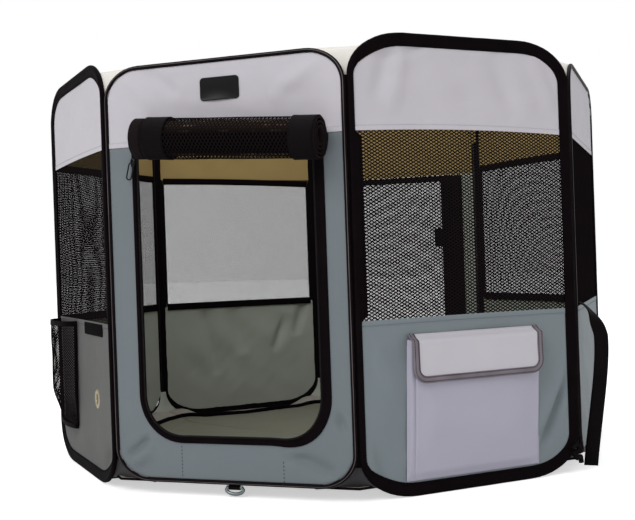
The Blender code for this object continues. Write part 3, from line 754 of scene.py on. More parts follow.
class Bench(Nodes):
    """A material being made, with its shader and the shared patterns."""

    def __init__(self, material: bpy.types.Material, book: PatternBook) -> None:
        """Takes the material and the patterns."""
        super().__init__(material.node_tree)
        self.book, self.shader = book, self.tree.nodes["Principled BSDF"]

    def chart(self) -> Socket:
        """The piece's own flat map."""
        return self.get("ShaderNodeUVMap", uv_map=CLOTH_UV)

    def place(self) -> Socket:
        """The place on the piece, on the pen's axes."""
        return self.add("ShaderNodeTexCoord").outputs["Object"]

    def draw(self, pattern: Pattern, where: Socket, **inputs: object) -> Sequence[Socket]:
        """Draws a shared pattern and gives what it puts out."""
        group = self.book.groups[pattern]
        return self.add("ShaderNodeGroup", {"Vector": where, **inputs}, node_tree=group).outputs

    def bump(self, height: Socket, strength: float, distance: float, **more: object) -> Socket:
        """Raises the surface by a height."""
        inputs = {"Height": height, "Strength": strength, "Distance": distance}
        return self.get("ShaderNodeBump", {**inputs, **more})

    def close(self, **inputs: object) -> None:
        """Feeds the shader, with _ for each space in an input's name.

        Args:
            **inputs: Sockets to link, or plain values to set.
        """
        for label, value in inputs.items():
            socket = self.shader.inputs[label.replace("_", " ")]
            if isinstance(value, Socket):
                self.link(value, socket)
            else:
                socket.default_value = value


@dataclass(frozen=True)
class Finish:
    """A surface finish. Each kind paints its own pattern."""

    name: str
    tone: tuple[int, int, int]
    slot: str

    def build(self, book: PatternBook) -> bpy.types.Material:
        """Makes the finish.

        Args:
            book: The shared patterns.

        Returns:
            The material.
        """
        material = bpy.data.materials.new(self.name)
        material.use_nodes = True
        material.diffuse_color = linear(self.tone)
        self.paint(Bench(material, book))
        return material

    def paint(self, bench: Bench) -> None:
        """Paints the finish's own pattern."""
        raise NotImplementedError


@dataclass(frozen=True)
class WovenCloth(Finish):
    """Coated plain-weave cloth."""

    threads: float = 1500.0
    mottle: float = 0.05
    crease: float = 0.30
    rough: float = 0.62
    sheen: float = 0.15
    shine: float = 0.35
    thread_tones: Pair = (0.94, 0.10)
    thread_bump: float = 0.35

    def paint(self, bench: Bench) -> None:
        """Weave, soft creases and uneven dye on a slightly shiny coating.

        Args:
            bench: The material.
        """
        chart = bench.chart()
        dyed = bench.draw(Pattern.MOTTLE, chart, Color=linear(self.tone), Amount=self.mottle)[0]
        weave = bench.draw(Pattern.WEAVE, chart, Threads=self.threads)[0]
        lowest, swing = self.thread_tones
        value = bench.math("MULTIPLY_ADD", weave, swing, lowest)
        threaded = bench.get("ShaderNodeHueSaturation", {"Color": dyed, "Value": value})
        soft = bench.bump(bench.draw(Pattern.CREASES, chart)[0], self.crease, 0.005)
        fine = bench.bump(weave, self.thread_bump, 0.0002, Normal=soft)
        look = {"Roughness": self.rough, "Sheen_Weight": self.sheen, "Specular_IOR_Level": self.shine}
        bench.close(Base_Color=threaded, Normal=fine, **look)


@dataclass(frozen=True)
class RibbedTape(Finish):
    """Woven tape or webbing. A piping has a painted highlight line along its round cord, on both faces."""

    ribs: float = 800.0
    rough: float = 0.6
    depth: float = 0.5
    shine: float = 0.02
    highlight_line: Pair | None = None
    highlight_half: float = 0.0007
    highlight_tone: tuple[int, int, int] = (116, 107, 109)

    def paint(self, bench: Bench) -> None:
        """Ribs, an uneven tone and the painted highlight line along a piping.

        Args:
            bench: The material.
        """
        chart, place = bench.chart(), bench.place()
        toned = bench.draw(Pattern.MOTTLE, place, Color=linear(self.tone), Scale=30.0, Amount=0.5)[0]
        # A painted highlight along the piping's round cord, broken in patches by noise.
        if self.highlight_line:
            across = bench.add("ShaderNodeSeparateXYZ", {0: chart}).outputs[1]
            for middle in self.highlight_line:
                across = bench.math("ABSOLUTE", bench.minus(across, middle))
            near = bench.math("MINIMUM", bench.over(across, self.highlight_half), 1.0)
            patchy = bench.get("ShaderNodeTexNoise", {"Vector": place, "Scale": 16.0, "Detail": 2.0})
            highlight = bench.times(bench.minus(1.0, near), bench.times(patchy, 1.5))
            colours = {0: highlight, 6: toned, 7: linear(self.highlight_tone)}
            toned = bench.add("ShaderNodeMix", colours, data_type="RGBA").outputs[2]
        ribs = bench.draw(Pattern.RIBS, chart, Ribs=self.ribs)[0]
        bump = bench.bump(ribs, self.depth, 0.0003)
        bench.close(Base_Color=toned, Normal=bump, Roughness=self.rough, Specular_IOR_Level=self.shine)


@dataclass(frozen=True)
class Yarn(Finish):
    """Knitting yarn, sewing thread and moulded coil."""

    rough: float = 0.6
    grain: float = 2500.0
    shine: float = 0.0

    def paint(self, bench: Bench) -> None:
        """Twisted fibres, lighter and darker along the yarn.

        Args:
            bench: The material.
        """
        place = bench.place()
        toned = bench.draw(Pattern.MOTTLE, place, Color=linear(self.tone), Scale=self.grain, Amount=0.45)[0]
        grain = bench.get("ShaderNodeTexNoise", {"Vector": place, "Scale": self.grain, "Detail": 2.0})
        bump = bench.bump(grain, 0.3, 0.0002)
        bench.close(Base_Color=toned, Normal=bump, Roughness=self.rough, Specular_IOR_Level=self.shine)


@dataclass(frozen=True)
class Metal(Finish):
    """Plated or enamelled metal."""

    polish: float = 0.16
    rubbing: float = 0.25
    metallic: float = 1.0

    def paint(self, bench: Bench) -> None:
        """Bright metal with rubbed places.

        Args:
            bench: The material.
        """
        place = bench.place()
        toned = bench.draw(Pattern.MOTTLE, place, Color=linear(self.tone), Scale=90.0)[0]
        rough, height = bench.draw(Pattern.RUBBED, place, Polish=self.polish, Rubbing=self.rubbing)
        bump = bench.bump(height, 0.08, 0.0002)
        bench.close(Base_Color=toned, Roughness=rough, Normal=bump, Metallic=self.metallic)


@dataclass(frozen=True)
class MouldedPatch(Finish):
    """Soft moulded rubber, or the close hooks of a fastening strip."""

    rough: float = 0.4
    grain: float = 900.0
    depth: float = 0.15
    shine: float = 0.03

    def paint(self, bench: Bench) -> None:
        """A fine moulded grain.

        Args:
            bench: The material.
        """
        place = bench.place()
        toned = bench.draw(Pattern.MOTTLE, place, Color=linear(self.tone), Amount=0.3)[0]
        bumps = bench.get("ShaderNodeTexVoronoi", {"Vector": place, "Scale": self.grain})
        bump = bench.bump(bumps, self.depth, 0.0004)
        bench.close(Base_Color=toned, Normal=bump, Roughness=self.rough, Specular_IOR_Level=self.shine)


@dataclass(frozen=True)
class PackedNet(Finish):
    """Layers of rolled net, where light comes through in rows near the top and the foot."""

    lit: tuple[int, int, int] = (150, 128, 110)
    row: float = 0.0088
    rough: float = 0.8
    lit_above: float = 0.16
    lit_below: float = -0.84
    foot_gain: float = 2.4
    patches: float = 26.0
    patch_from: float = 0.48
    patch_gain: float = 9.0
    row_gain: float = 1.5
    faint: float = 0.26

    def paint(self, bench: Bench) -> None:
        """Black net with broken rows of light.

        Args:
            bench: The material.
        """
        chart = bench.chart()
        normal = bench.add("ShaderNodeNewGeometry").outputs["Normal"]
        level = bench.add("ShaderNodeSeparateXYZ", {0: normal}).outputs[2]
        above = bench.math("MAXIMUM", bench.minus(level, self.lit_above), 0.0)
        below = bench.math("MAXIMUM", bench.minus(self.lit_below, level), 0.0)
        facing = bench.math("MULTIPLY_ADD", below, self.foot_gain, above)
        run = bench.add("ShaderNodeSeparateXYZ", {0: chart}).outputs[1]
        rows = bench.math("MAXIMUM", bench.math("SINE", bench.over(run, self.row / math.tau)), 0.0)
        broken = bench.get("ShaderNodeTexNoise", {"Vector": chart, "Scale": self.patches, "Detail": 2.0})
        patch = bench.math("MAXIMUM", bench.times(bench.minus(broken, self.patch_from), self.patch_gain), 0.0)
        glow = bench.math("MULTIPLY_ADD", rows, bench.times(patch, self.row_gain), self.faint)
        share = bench.math("MINIMUM", bench.times(facing, glow), 1.0)
        colours = {0: share, 6: linear(self.tone), 7: linear(self.lit)}
        toned = bench.add("ShaderNodeMix", colours, data_type="RGBA").outputs[2]
        bench.close(Base_Color=toned, Roughness=self.rough, Specular_IOR_Level=0.0)


LIGHT_CLOTH = WovenCloth("light_lavender_cloth", (194, 190, 197), "light_cloth")
# LIGHT_LINING and GREY_LINING hold the cloth's inner tone, painted lighter as painted light where the lamps
# reach the pen's inside too little.
LIGHT_LINING = WovenCloth("light_cloth_inside", (157, 134, 84), "light_cloth", sheen=0.0, rough=0.8)
GREY_CLOTH = WovenCloth("blue_grey_cloth", (119, 129, 134), "grey_cloth")
# Painted shade: the front left side's lower cloth is the same blue-grey cloth, painted darker and greyer where
# that side faces away from the light.
SHADED_CLOTH = WovenCloth("plain_grey_cloth", (92, 93, 91), "grey_cloth", sheen=0.0)
GREY_LINING = WovenCloth("grey_cloth_inside", (160, 165, 155), "grey_cloth", sheen=0.0, rough=0.8)
RIM_CLOTH = WovenCloth("grey_rim_cloth", (146, 140, 132), "floor_cloth")
TOP_WEB = WovenCloth("cream_web_cloth", (226, 223, 216), "light_cloth")
DOOR_CLOTH = WovenCloth("grey_door_cloth", (109, 117, 122), "grey_cloth")
# Painted shade: the foot webs are the grey lower cloth running round the corners, painted dark where it lies
# in shade. The floor sheet's underside takes the same finish.
FOOT_WEB = WovenCloth("dark_web_cloth", (46, 45, 48), "grey_cloth")
POCKET_CLOTH = WovenCloth("lavender_pocket_cloth", (172, 169, 184), "pocket_cloth")
FLAP_CLOTH = WovenCloth("pale_flap_cloth", (194, 191, 198), "flap_cloth")
FLAP_TRIM = RibbedTape("grey_trim_tape", (118, 110, 118), "flap_cloth", depth=0.3, shine=0.2)
FLOOR_CLOTH = WovenCloth("olive_floor_cloth", (112, 112, 96), "floor_cloth", threads=1100.0, crease=0.4)
WIDE_TAPE = RibbedTape("black_binding_tape", (14, 9, 12), "black_tape")
# Where the piping's painted highlight runs, across its flat map: the map's middle, and how far each line is
# from there.
HIGHLIGHT_LINE = (0.0090, 0.0056)
PIPING = RibbedTape(
    "black_glossy_piping", (15, 10, 12), "black_piping", rough=0.4, depth=0.2, shine=0.05, highlight_line=HIGHLIGHT_LINE
)
ROLL_TAPE = RibbedTape("brown_black_tape", (27, 21, 22), "black_tape", depth=0.3)
WEBBING = RibbedTape("black_webbing", (13, 9, 11), "black_tape", ribs=520.0, depth=0.8, shine=0.05)
NET_YARN = Yarn("black_net_yarn", (24, 20, 21), "black_mesh")
THREAD = Yarn("black_sewing_thread", (24, 20, 23), "black_tape", rough=0.5)
DARK_THREAD = Yarn("dark_sewing_thread", (52, 60, 68), "grey_cloth")
PALE_THREAD = Yarn("pale_sewing_thread", (168, 166, 178), "light_cloth", rough=0.5)
GREY_THREAD = Yarn("grey_sewing_thread", (96, 104, 110), "grey_cloth", rough=0.5)
COIL = Yarn("black_zip_coil", (14, 11, 12), "black_tape", rough=0.35, grain=900.0, shine=0.3)
BRASS = Metal("dull_brass", (176, 163, 132), "bright_metal")
GREY_METAL = Metal("grey_nickel", (134, 144, 145), "bright_metal", polish=0.25)
BLACK_METAL = Metal("black_enamelled_metal", (20, 18, 19), "zip_metal", polish=0.3, metallic=0.4)
SPRING_STEEL = Metal("spring_steel", (150, 152, 156), "spring_steel", polish=0.3)
LABEL_RUBBER = MouldedPatch("black_label_rubber", (9, 8, 9), "label_rubber", rough=0.35, shine=0.2)
PACKED_NET = PackedNet("packed_black_net", (9, 5, 6), "black_mesh")
HOOKS = MouldedPatch("black_fastening_hooks", (12, 9, 10), "black_tape", rough=0.85, grain=1600.0, depth=0.9)


def build_mesh(name: str, points: np.ndarray, faces: np.ndarray, chart: np.ndarray) -> Piece:
    """Makes a smooth piece from points and faces.

    Args:
        name: Name of the piece.
        points: The points.
        faces: Four point numbers for each face.
        chart: Flat map, one place for each corner of each face.

    Returns:
        The piece.
    """
    mesh = bpy.data.meshes.new(name)
    mesh.from_pydata(points.reshape(-1, 3).tolist(), [], faces.tolist())
    layer = mesh.uv_layers.new(name=CLOTH_UV)
    layer.data.foreach_set("uv", np.ascontiguousarray(chart, dtype=np.float32).ravel())
    mesh.shade_smooth()
    return show(name, mesh)


@dataclass
class Surface:
    """A grid of points with a flat map, such as a cut of cloth laid in place."""

    points: np.ndarray
    chart: np.ndarray
    closed: bool = False

    @classmethod
    def flat(cls, u: np.ndarray, v: np.ndarray, w: np.ndarray) -> "Surface":
        """A surface whose flat map is its own u and v."""
        return cls(np.stack([u, v, w], -1), np.stack([u, v], -1))

    @classmethod
    def band(cls, lines: Sequence[np.ndarray], across: Sequence[float]) -> "Surface":
        """A long strip, with its flat map measured along the middle one of its lines.

        Args:
            lines: Points of each line.
            across: Where each line is across the strip.

        Returns:
            The strip.
        """
        points = np.stack(lines)
        run, wide = np.meshgrid(running(points[len(points) // 2]), across)
        return cls(points, np.stack([run, wide], -1))

    @property
    def area(self) -> float:
        """Area of the flat map."""
        lines = self.chart
        first, second = lines[1:, 1:] - lines[:-1, :-1], lines[1:, :-1] - lines[:-1, 1:]
        return float(np.abs(first[..., 0] * second[..., 1] - first[..., 1] * second[..., 0]).sum() / 2)

    @property
    def cut(self) -> Pair:
        """Width and length of the flat map."""
        flat = self.chart.reshape(-1, 2)
        width, length = flat.max(0) - flat.min(0)
        return float(width), float(length)

    @property
    def within(self) -> float:
        """The flat map's area, and no more than that of the rectangle round it."""
        return min(self.area, math.prod(self.cut))

    def build(self, name: str, place: Matrix, materials: Sequence[bpy.types.Material]) -> Piece:
        """Makes the surface's mesh.

        Args:
            name: Name of the piece.
            place: Where its axes stand.
            materials: Its outside, then its inside.

        Returns:
            The piece.
        """
        rows, columns = self.points.shape[:2]
        row_steps = rows if self.closed else rows - 1
        row, column = np.meshgrid(np.arange(row_steps), np.arange(columns - 1), indexing="ij")
        corner_rows = np.stack([row, row, row + 1, row + 1], -1).reshape(-1, 4)
        corner_columns = np.stack([column, column + 1, column + 1, column], -1).reshape(-1, 4)
        faces = (corner_rows % rows) * columns + corner_columns
        chart = self.chart[corner_rows % len(self.chart), corner_columns]
        made = build_mesh(name, self.points, faces, chart)
        made.data.transform(place)
        for material in materials:
            made.data.materials.append(material)
        return made


def thicken(piece: Piece, thickness: float, offset: float = 0.0, lined: bool = True) -> None:
    """Gives a surface its thickness.

    Args:
        piece: The surface.
        thickness: How thick it becomes.
        offset: 0 for half to each side, -1 for all of it inwards, 1 for outwards.
        lined: True where its inside has the second material.
    """
    solid = piece.modifiers.new("thickness", "SOLIDIFY")
    solid.thickness, solid.offset = thickness, offset
    solid.material_offset = 1 if lined and len(piece.data.materials) > 1 else 0


def lay_line(paths: Sequence[np.ndarray], closed: bool = False) -> Piece:
    """Makes a curve for a tree to work along.

    Args:
        paths: Points of each line, in three dimensions.
        closed: True where each line comes back to its start.

    Returns:
        The curve's object.
    """
    curve = bpy.data.curves.new("line", "CURVE")
    curve.dimensions = "3D"
    for path in paths:
        spline = curve.splines.new("POLY")
        spline.points.add(len(path) - 1)
        spline.points.foreach_set("co", np.concatenate([path, np.ones((len(path), 1))], 1).ravel())
        spline.use_cyclic_u = closed
    return show("line", curve)


def face_out(piece: Piece) -> None:
    """Turns a closed mesh's faces outwards."""
    shape = bmesh.new()
    shape.from_mesh(piece.data)
    if shape.calc_volume(signed=True) < 0:
        bmesh.ops.reverse_faces(shape, faces=shape.faces)
        shape.to_mesh(piece.data)
    shape.free()


@dataclass
class Workshop:
    """What the sub-assemblies share: the plan, the finishes and the trees."""

    plan: PenPlan
    book: PatternBook
    net: ShapeTree
    beads: ShapeTree
    tape: ShapeTree
    finishes: dict[str, bpy.types.Material] = field(default_factory=dict)

    @classmethod
    def open(cls) -> "Workshop":
        """Builds the patterns and the trees."""
        book = PatternBook()
        book.build()
        return cls(PenPlan(), book, make_net_tree(), make_bead_tree(), make_tape_tree())

    def finish(self, wanted: Finish) -> bpy.types.Material:
        """The material of a finish, made when it is first asked for."""
        if wanted.name not in self.finishes:
            self.finishes[wanted.name] = wanted.build(self.book)
        return self.finishes[wanted.name]


@dataclass
class Assembly:
    """A sub-assembly on one side of the pen."""

    shop: Workshop
    side: Side

    @property
    def plan(self) -> PenPlan:
        """The pen's main sizes."""
        return self.shop.plan

    @property
    def place(self) -> Matrix:
        """Where the side stands."""
        return self.plan.place(self.side.index)

    @property
    def half(self) -> float:
        """Half of the hoop's width."""
        return self.plan.side / 2 - self.plan.edge_gap

    def name(self, label: str) -> str:
        """A piece's name on this side."""
        return f"{self.side.name}_{label}"

    def fit(self, piece: Piece, finish: Finish, *nodes: str, body: str = "") -> Piece:
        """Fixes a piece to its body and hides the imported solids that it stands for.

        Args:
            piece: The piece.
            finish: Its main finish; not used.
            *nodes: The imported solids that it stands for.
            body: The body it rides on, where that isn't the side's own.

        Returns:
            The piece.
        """
        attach(piece, body or self.side.body)
        if nodes:
            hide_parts(*nodes)
        LOG.info("%s: %d faces", piece.name, len(piece.data.polygons))
        return piece

    def mount(self, piece: Piece, finish: Finish, spot: Matrix, *nodes: str, body: str = "") -> Piece:
        """Puts a small fitting in its place on the side.

        Args:
            piece: The fitting, on axes of its own.
            finish: Its finish.
            spot: Where its axes stand on the side.
            *nodes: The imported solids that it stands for.
            body: The body it rides on, where that isn't the side's own.

        Returns:
            The fitting.
        """
        piece.data.materials.append(self.shop.finish(finish))
        piece.data.transform(self.place @ spot)
        return self.fit(piece, finish, *nodes, body=body)

    def squeeze(self, piece: Piece, spot: Triple, keep: float) -> None:
        """Gives a piece its own copy of its mesh.

        Args:
            piece: The piece.
            spot: The place that stays where it is.
            keep: Share of its depth that is left; not used.
        """
        outwards = self.place.to_3x3() @ Vector(UP_FACING)
        anchor = self.place @ Vector(spot)
        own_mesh(piece)

    def cloth(
        self,
        name: str,
        cut: Surface,
        faces: Sequence[Finish],
        *nodes: str,
        thickness: float = 0.0007,
        body: str = "",
    ) -> Piece:
        """Makes a cut of cloth in place.

        Args:
            name: Name of the piece.
            cut: Its shape.
            faces: Its outer finish, then its inner one.
            *nodes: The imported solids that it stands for.
            thickness: How thick it is.
            body: The body it rides on, where that isn't the side's own.

        Returns:
            The piece.
        """
        made = cut.build(name, self.place, [self.shop.finish(face) for face in faces])
        thicken(made, thickness)
        return self.fit(made, faces[0], *nodes, body=body)

    def sew(
        self,
        name: str,
        lines: Sequence[np.ndarray],
        thread: Finish,
        pitch: float = 0.0036,
        body: str = "",
        place: Matrix | None = None,
        **sizes: float,
    ) -> Piece:
        """Sews stitches along lines.

        Args:
            name: Name of the row of stitches.
            lines: Points of each line.
            thread: The thread's finish.
            pitch: Distance from stitch to stitch.
            body: The body it rides on, where that isn't the side's own.
            place: Where the lines' axes stand, if not on this side.
            **sizes: Other sizes of each stitch, by the tree's input.

        Returns:
            The stitches.
        """
        values = {"pitch": pitch, "length": 0.72 * pitch, "thread": self.shop.finish(thread), **sizes}
        made = self.shop.beads.run(lay_line(lines), name, **values)
        made.data.transform(place or self.place)
        made.data.shade_smooth()
        return self.fit(made, thread, body=body)

    def knit(
        self,
        name: str,
        cut: Surface,
        points: int,
        *nodes: str,
        place: Matrix | None = None,
        body: str = "",
        **sizes: float,
    ) -> Piece:
        """Lays net over a surface.

        Args:
            name: Name of the piece.
            cut: The surface. The middle of its flat map is at 0.
            points: Points along each strand.
            *nodes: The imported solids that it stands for.
            place: Where the surface's axes stand, if not on this side.
            body: The body it rides on, where that isn't the side's own.
            **sizes: The net's own sizes, by the tree's input.

        Returns:
            The net.
        """
        source = cut.build("surface", Matrix(), [])
        width, height = cut.cut
        values = {"width": width, "height": height, "points": points, **sizes}
        made = self.shop.net.run(source, name, yarn=self.shop.finish(NET_YARN), **values)
        made.data.transform(place or self.place)
        return self.fit(made, NET_YARN, *nodes, body=body)


@dataclass
class Hoop(Assembly):
    """The tape that is folded over a side's wire."""

    stitch_inset: float = 0.0022
    inner_flap: float = 0.5
    slim_flap: float = 0.12
    top_flare: Pair = (0.552, 0.050)
    foot_flare: Pair = (0.052, 0.045)
    fine: float = 0.004
    coarse: float = 0.012
    bunch: tuple[Pair, ...] = (
        (0.158, 0.036), (0.170, 0.040), (0.174, 0.030), (0.163, 0.030),
        (0.166, 0.021), (0.176, 0.022), (0.174, 0.014),
    )
    bunch_radius: float = 0.0036

    def slim(self, points: np.ndarray) -> np.ndarray:
        """Narrows the flap of a wide tape inside the pen, and beside the front door where cloth laps over it.

        Args:
            points: Places on the tape, on the side's own axes.

        Returns:
            The places, those on the flap drawn towards the hoop's edge.
        """
        form, plan = self.side.form, self.plan
        ring = form.outline(self.half, stride=self.fine)
        step = unit(np.roll(ring, -1, axis=0) - np.roll(ring, 1, axis=0))
        inwards = np.stack([-step[:, 1], step[:, 0]], 1)
        near = np.argmin(np.linalg.norm(points[:, None, :2] - ring[None], axis=2), axis=1)
        depth = np.sum((points[:, :2] - ring[near]) * inwards[near], axis=1)
        beyond = np.maximum(depth - 2 * form.wire_at, 0)
        level = ring[near, 1]
        free = smooth((level - plan.low_seam) / 0.006) * smooth((plan.high_seam - level) / 0.006)
        (top, rise), (foot, fall) = self.top_flare, self.foot_flare
        ends = smooth((level - top) / rise) + smooth((foot - level) / fall)
        free = np.maximum(free, ends)
        share = np.where(points[:, 2] < 0, self.slim_flap + (self.inner_flap - self.slim_flap) * ends, 1.0)
        by_door = points[:, 0] * DOOR_SENSE.get(self.side.name, 0) > 0.1
        share = np.where(by_door, np.minimum(share, self.slim_flap + (1 - self.slim_flap) * free), share)
        slim = points.copy()
        slim[:, :2] -= inwards[near] * (beyond * (1 - share))[:, None]
        return slim

    def build(self) -> None:
        """Sweeps the tape round the hoop and sews its inner edge."""
        form, wide = self.side.form, self.side.kind is HoopKind.WIDE
        finish = WIDE_TAPE if wide else PIPING
        section = lay_line([np.insert(form.section() * (-1, 1), 2, 0.0, axis=1)], closed=True)
        stride = self.fine if self.side.name in DOOR_SENSE else self.coarse
        ring = np.insert(form.outline(self.half, stride=stride), 2, 0.0, axis=1)
        values = {"section": section, "seed": float(self.side.index), "tape": self.shop.finish(finish)}
        made = self.shop.tape.run(lay_line([ring], closed=True), self.name("hoop_tape"), **values)
        bpy.data.objects.remove(section)
        face_out(made)
        if wide:
            vertices = made.data.vertices
            for vertex, spot in zip(vertices, self.slim(np.array([vertex.co for vertex in vertices]))):
                vertex.co = spot
        made.data.transform(self.place)
        self.fit(made, finish, self.name("hoop_binding"))
        line = form.outline(self.half, form.tape - self.stitch_inset, stride=self.fine * (1 if wide else 2))
        ring = np.insert(np.concatenate([line, line[:1]]), 2, form.flat + 0.0001, axis=1)
        rings = [self.slim(ring), self.slim(ring * (1, 1, -1))] if wide else [ring]
        self.sew(self.name("hoop_stitches"), rings, THREAD)
        if self.side.name == "front_right":
            self.bunch_end()

    def bunch_end(self) -> None:
        """The tape's loose end, bunched up at the foot of the corner beside the strap."""
        line = np.array([(u, v, 0.0045 + 0.002 * (-1) ** index) for index, (u, v) in enumerate(self.bunch)])
        self.mount(bend_cord("bunched_tape", resample(line, 60), self.bunch_radius), WEBBING, Matrix())


@dataclass(frozen=True)
class Look:
    """How one side's cloths hang: the lower cloth's finish, the bow of the seams, and each cloth's folds."""

    lower: Finish = GREY_CLOTH
    bow: Triple = (0.0, 0.0, 0.0)
    folds: dict[str, tuple[Fold, ...]] = field(default_factory=dict)


@dataclass
class Walls(Assembly):
    """The upper and lower cloths of a side."""

    look: Look
    hem: float = 0.0072
    broad_wave: Pair = (0.085, 0.0022)
    small_wave: Pair = (0.030, 0.0005)
    pucker: float = 0.0005

    def columns(self, inset: float, count: int) -> np.ndarray:
        """Places across the side, closer together in the hoop's round corners."""
        form = self.side.form
        reach = form.corner[0] - inset
        bend = self.half - inset - reach + reach * np.sin(np.linspace(0, math.pi / 2, 15))
        middle = np.linspace(-bend[0], bend[0], count)
        return np.concatenate([-bend[:0:-1], middle, bend[1:]])

    def relief(self, u: np.ndarray, v: np.ndarray, clear: np.ndarray, part: str) -> np.ndarray:
        """How far the cloth stands off its flat plane.

        Args:
            u: Places along the side.
            v: Heights.
            clear: Distance to the nearest sewn edge.
            part: Which cloth.

        Returns:
            The height of the cloth's soft waves, folds and hems.
        """
        seed = 10 * self.side.index + len(part)
        waves = ripple(u, v, *self.broad_wave, seed) + ripple(u, v, *self.small_wave, seed + 3)
        puckers = self.pucker * np.sin(u * 560 + 3 * np.sin(u * 90 + seed)) * np.exp(-clear / 0.010)
        folds = sum((fold.lift(u, v) for fold in self.look.folds.get(part, ())), np.zeros_like(u))
        return waves * smooth(clear / 0.045) + (folds + puckers * 0.6) * smooth(clear / 0.012)

    def panel(self, low: np.ndarray, high: np.ndarray, u: np.ndarray, hem_up: bool, part: str) -> Surface:
        """Cuts a cloth between two lines, with a turned hem on one of them.

        Args:
            low: Height of its lower line at each place.
            high: Height of its upper line.
            u: The places.
            hem_up: True where the hem is along its upper line.
            part: Which cloth.

        Returns:
            The cloth.
        """
        steps = np.array([0.0, 0.0004, self.hem - 0.0006, self.hem + 0.0004])
        spread = np.linspace(0, 1, max(6, int((high - low).max() / 0.0045)))[1:]
        near, far = (high, low) if hem_up else (low, high)
        sense = np.sign(far - near)
        start = near + sense * steps[-1]
        rows = [near + sense * step for step in steps] + [start + (far - start) * share for share in spread]
        v = np.array(rows[::-1] if hem_up else rows)
        along = np.broadcast_to(u, v.shape)
        edge = np.minimum(np.abs(v - near), np.abs(v - far))
        clear = np.minimum(edge, self.half - self.side.form.tape - np.abs(along))
        from_hem = np.abs(v - near)
        turned = 0.00045 * (1 - smooth((from_hem - self.hem + 0.0006) / 0.001))
        return Surface.flat(along, v, self.relief(along, v, np.maximum(clear, 0), part) + turned)

    def build(self) -> None:
        """Cuts and sews both cloths."""
        form, plan = self.side.form, self.plan
        u = self.columns(form.tuck, 76)
        seam = plan.high_seam + bowed(u / self.half, self.look.bow)
        upper = self.panel(seam, form.rim(u, self.half, form.tuck, True), u, False, "upper")
        self.hang(upper, "upper_fabric", (LIGHT_CLOTH, LIGHT_LINING))
        if self.side.door:
            lower = self.door_surround()
        else:
            ledge = plan.low_seam + LOW_BOW * bowed(u / self.half, self.look.bow)
            lower = self.panel(form.rim(u, self.half, form.tuck, False), ledge, u, True, "lower")
        self.hang(lower, "lower_fabric", (self.look.lower, GREY_LINING))
        self.sew_hems(upper, lower)

    def hang(self, cut: Surface, label: str, faces: tuple[Finish, Finish]) -> None:
        """Puts a cloth in the hoop, under its label on the side, with its outer and inner finish."""
        made = self.cloth(self.name(label.replace("fabric", "cloth")), cut, faces, self.name(label))
        cut.cut
        self.name("hoop_tape")
        cut.area

    def sew_hems(self, upper: Surface, lower: Surface) -> None:
        """Sews the hems along the two seams."""
        rise = (0, 0, 0.0005)
        self.sew(self.name("upper_hem_stitches"), [upper.points[2] + rise], PALE_THREAD)
        if not self.side.door:
            self.sew(self.name("lower_hem_stitches"), [lower.points[-3] + rise], GREY_THREAD)
            return
        rows = [np.array([[u, low, 0.0007], [u, high, 0.0007]]) for u, low, high in FOOT_ROWS]
        self.sew(self.name("foot_stitches"), rows, DARK_THREAD, 0.0046, length=0.0023, width=0.0015)

    def door_surround(self) -> Surface:
        """The cloth round a door opening, cut from the opening out to the hoop.

        Returns:
            The cloth.
        """
        plan, form = self.plan, self.side.form
        inner = plan.tape_line(0.0015, plan.high_seam, self.side.index == 0, 10)
        half, radius = plan.door_half + 0.0015, plan.door_round + 0.0015
        bend_top, bend_in = plan.door_foot - 0.0015 + radius, half - radius
        outer = np.empty_like(inner)
        reach = self.half - form.tuck
        ring = form.outline(self.half, form.tuck, stride=0.004)
        low = ring[(ring[:, 0] > bend_in) & (ring[:, 1] < bend_top)]
        low = low[np.argsort(np.arctan2(low[:, 1] - bend_top, low[:, 0] - bend_in))[::-1]]
        foot = form.rim(np.array([bend_in]), self.half, form.tuck, False)[0]
        corner = resample(np.concatenate([[[reach, bend_top]], low, [[bend_in, foot]]]), 11)
        on_side = inner[:, 1] > bend_top + 1e-6
        on_foot = np.abs(inner[:, 0]) < bend_in - 1e-6
        outer[on_side] = np.stack([reach * np.sign(inner[on_side, 0]), inner[on_side, 1]], 1)
        across = inner[on_foot, 0]
        outer[on_foot] = np.stack([across, form.rim(across, self.half, form.tuck, False)], 1)
        bend = np.flatnonzero(~on_side & ~on_foot)
        outer[bend[: len(bend) // 2]] = corner
        outer[bend[len(bend) // 2:]] = corner[::-1] * (-1, 1)
        inner, outer = resample_pair(inner, outer, 0.006)
        share = np.linspace(0, 1, 15)[:, None, None]
        grid = inner * (1 - share) + outer * share
        u, v = grid[..., 0], grid[..., 1]
        gap = np.linalg.norm(outer - inner, axis=1)
        clear = np.minimum((1 - share[..., 0]) * gap - form.tape, share[..., 0] * gap - plan.zip_width)
        clear = np.minimum(clear, plan.high_seam - v)
        return Surface.flat(u, v, self.relief(u, v, np.maximum(clear, 0), "lower"))


def resample_pair(first: np.ndarray, second: np.ndarray, stride: float) -> tuple[np.ndarray, np.ndarray]:
    """Adds steps to two matched lines together.

    Args:
        first: Points of one line.
        second: The matching points of the other.
        stride: Greatest step on either.

    Returns:
        Both lines with the same steps added.
    """
    parts: list[list[np.ndarray]] = [[], []]
    for index in range(len(first) - 1):
        spans = [np.linalg.norm(line[index + 1] - line[index]) for line in (first, second)]
        count = max(1, math.ceil(max(spans) / stride))
        for part, line in zip(parts, (first, second)):
            part.extend(line[index] + (line[index + 1] - line[index]) * step / count for step in range(count))
    for part, line in zip(parts, (first, second)):
        part.append(line[-1])
    return np.array(parts[0]), np.array(parts[1])


# Share of the upper seam's bow that the lower seam has.
LOW_BOW = 0.2
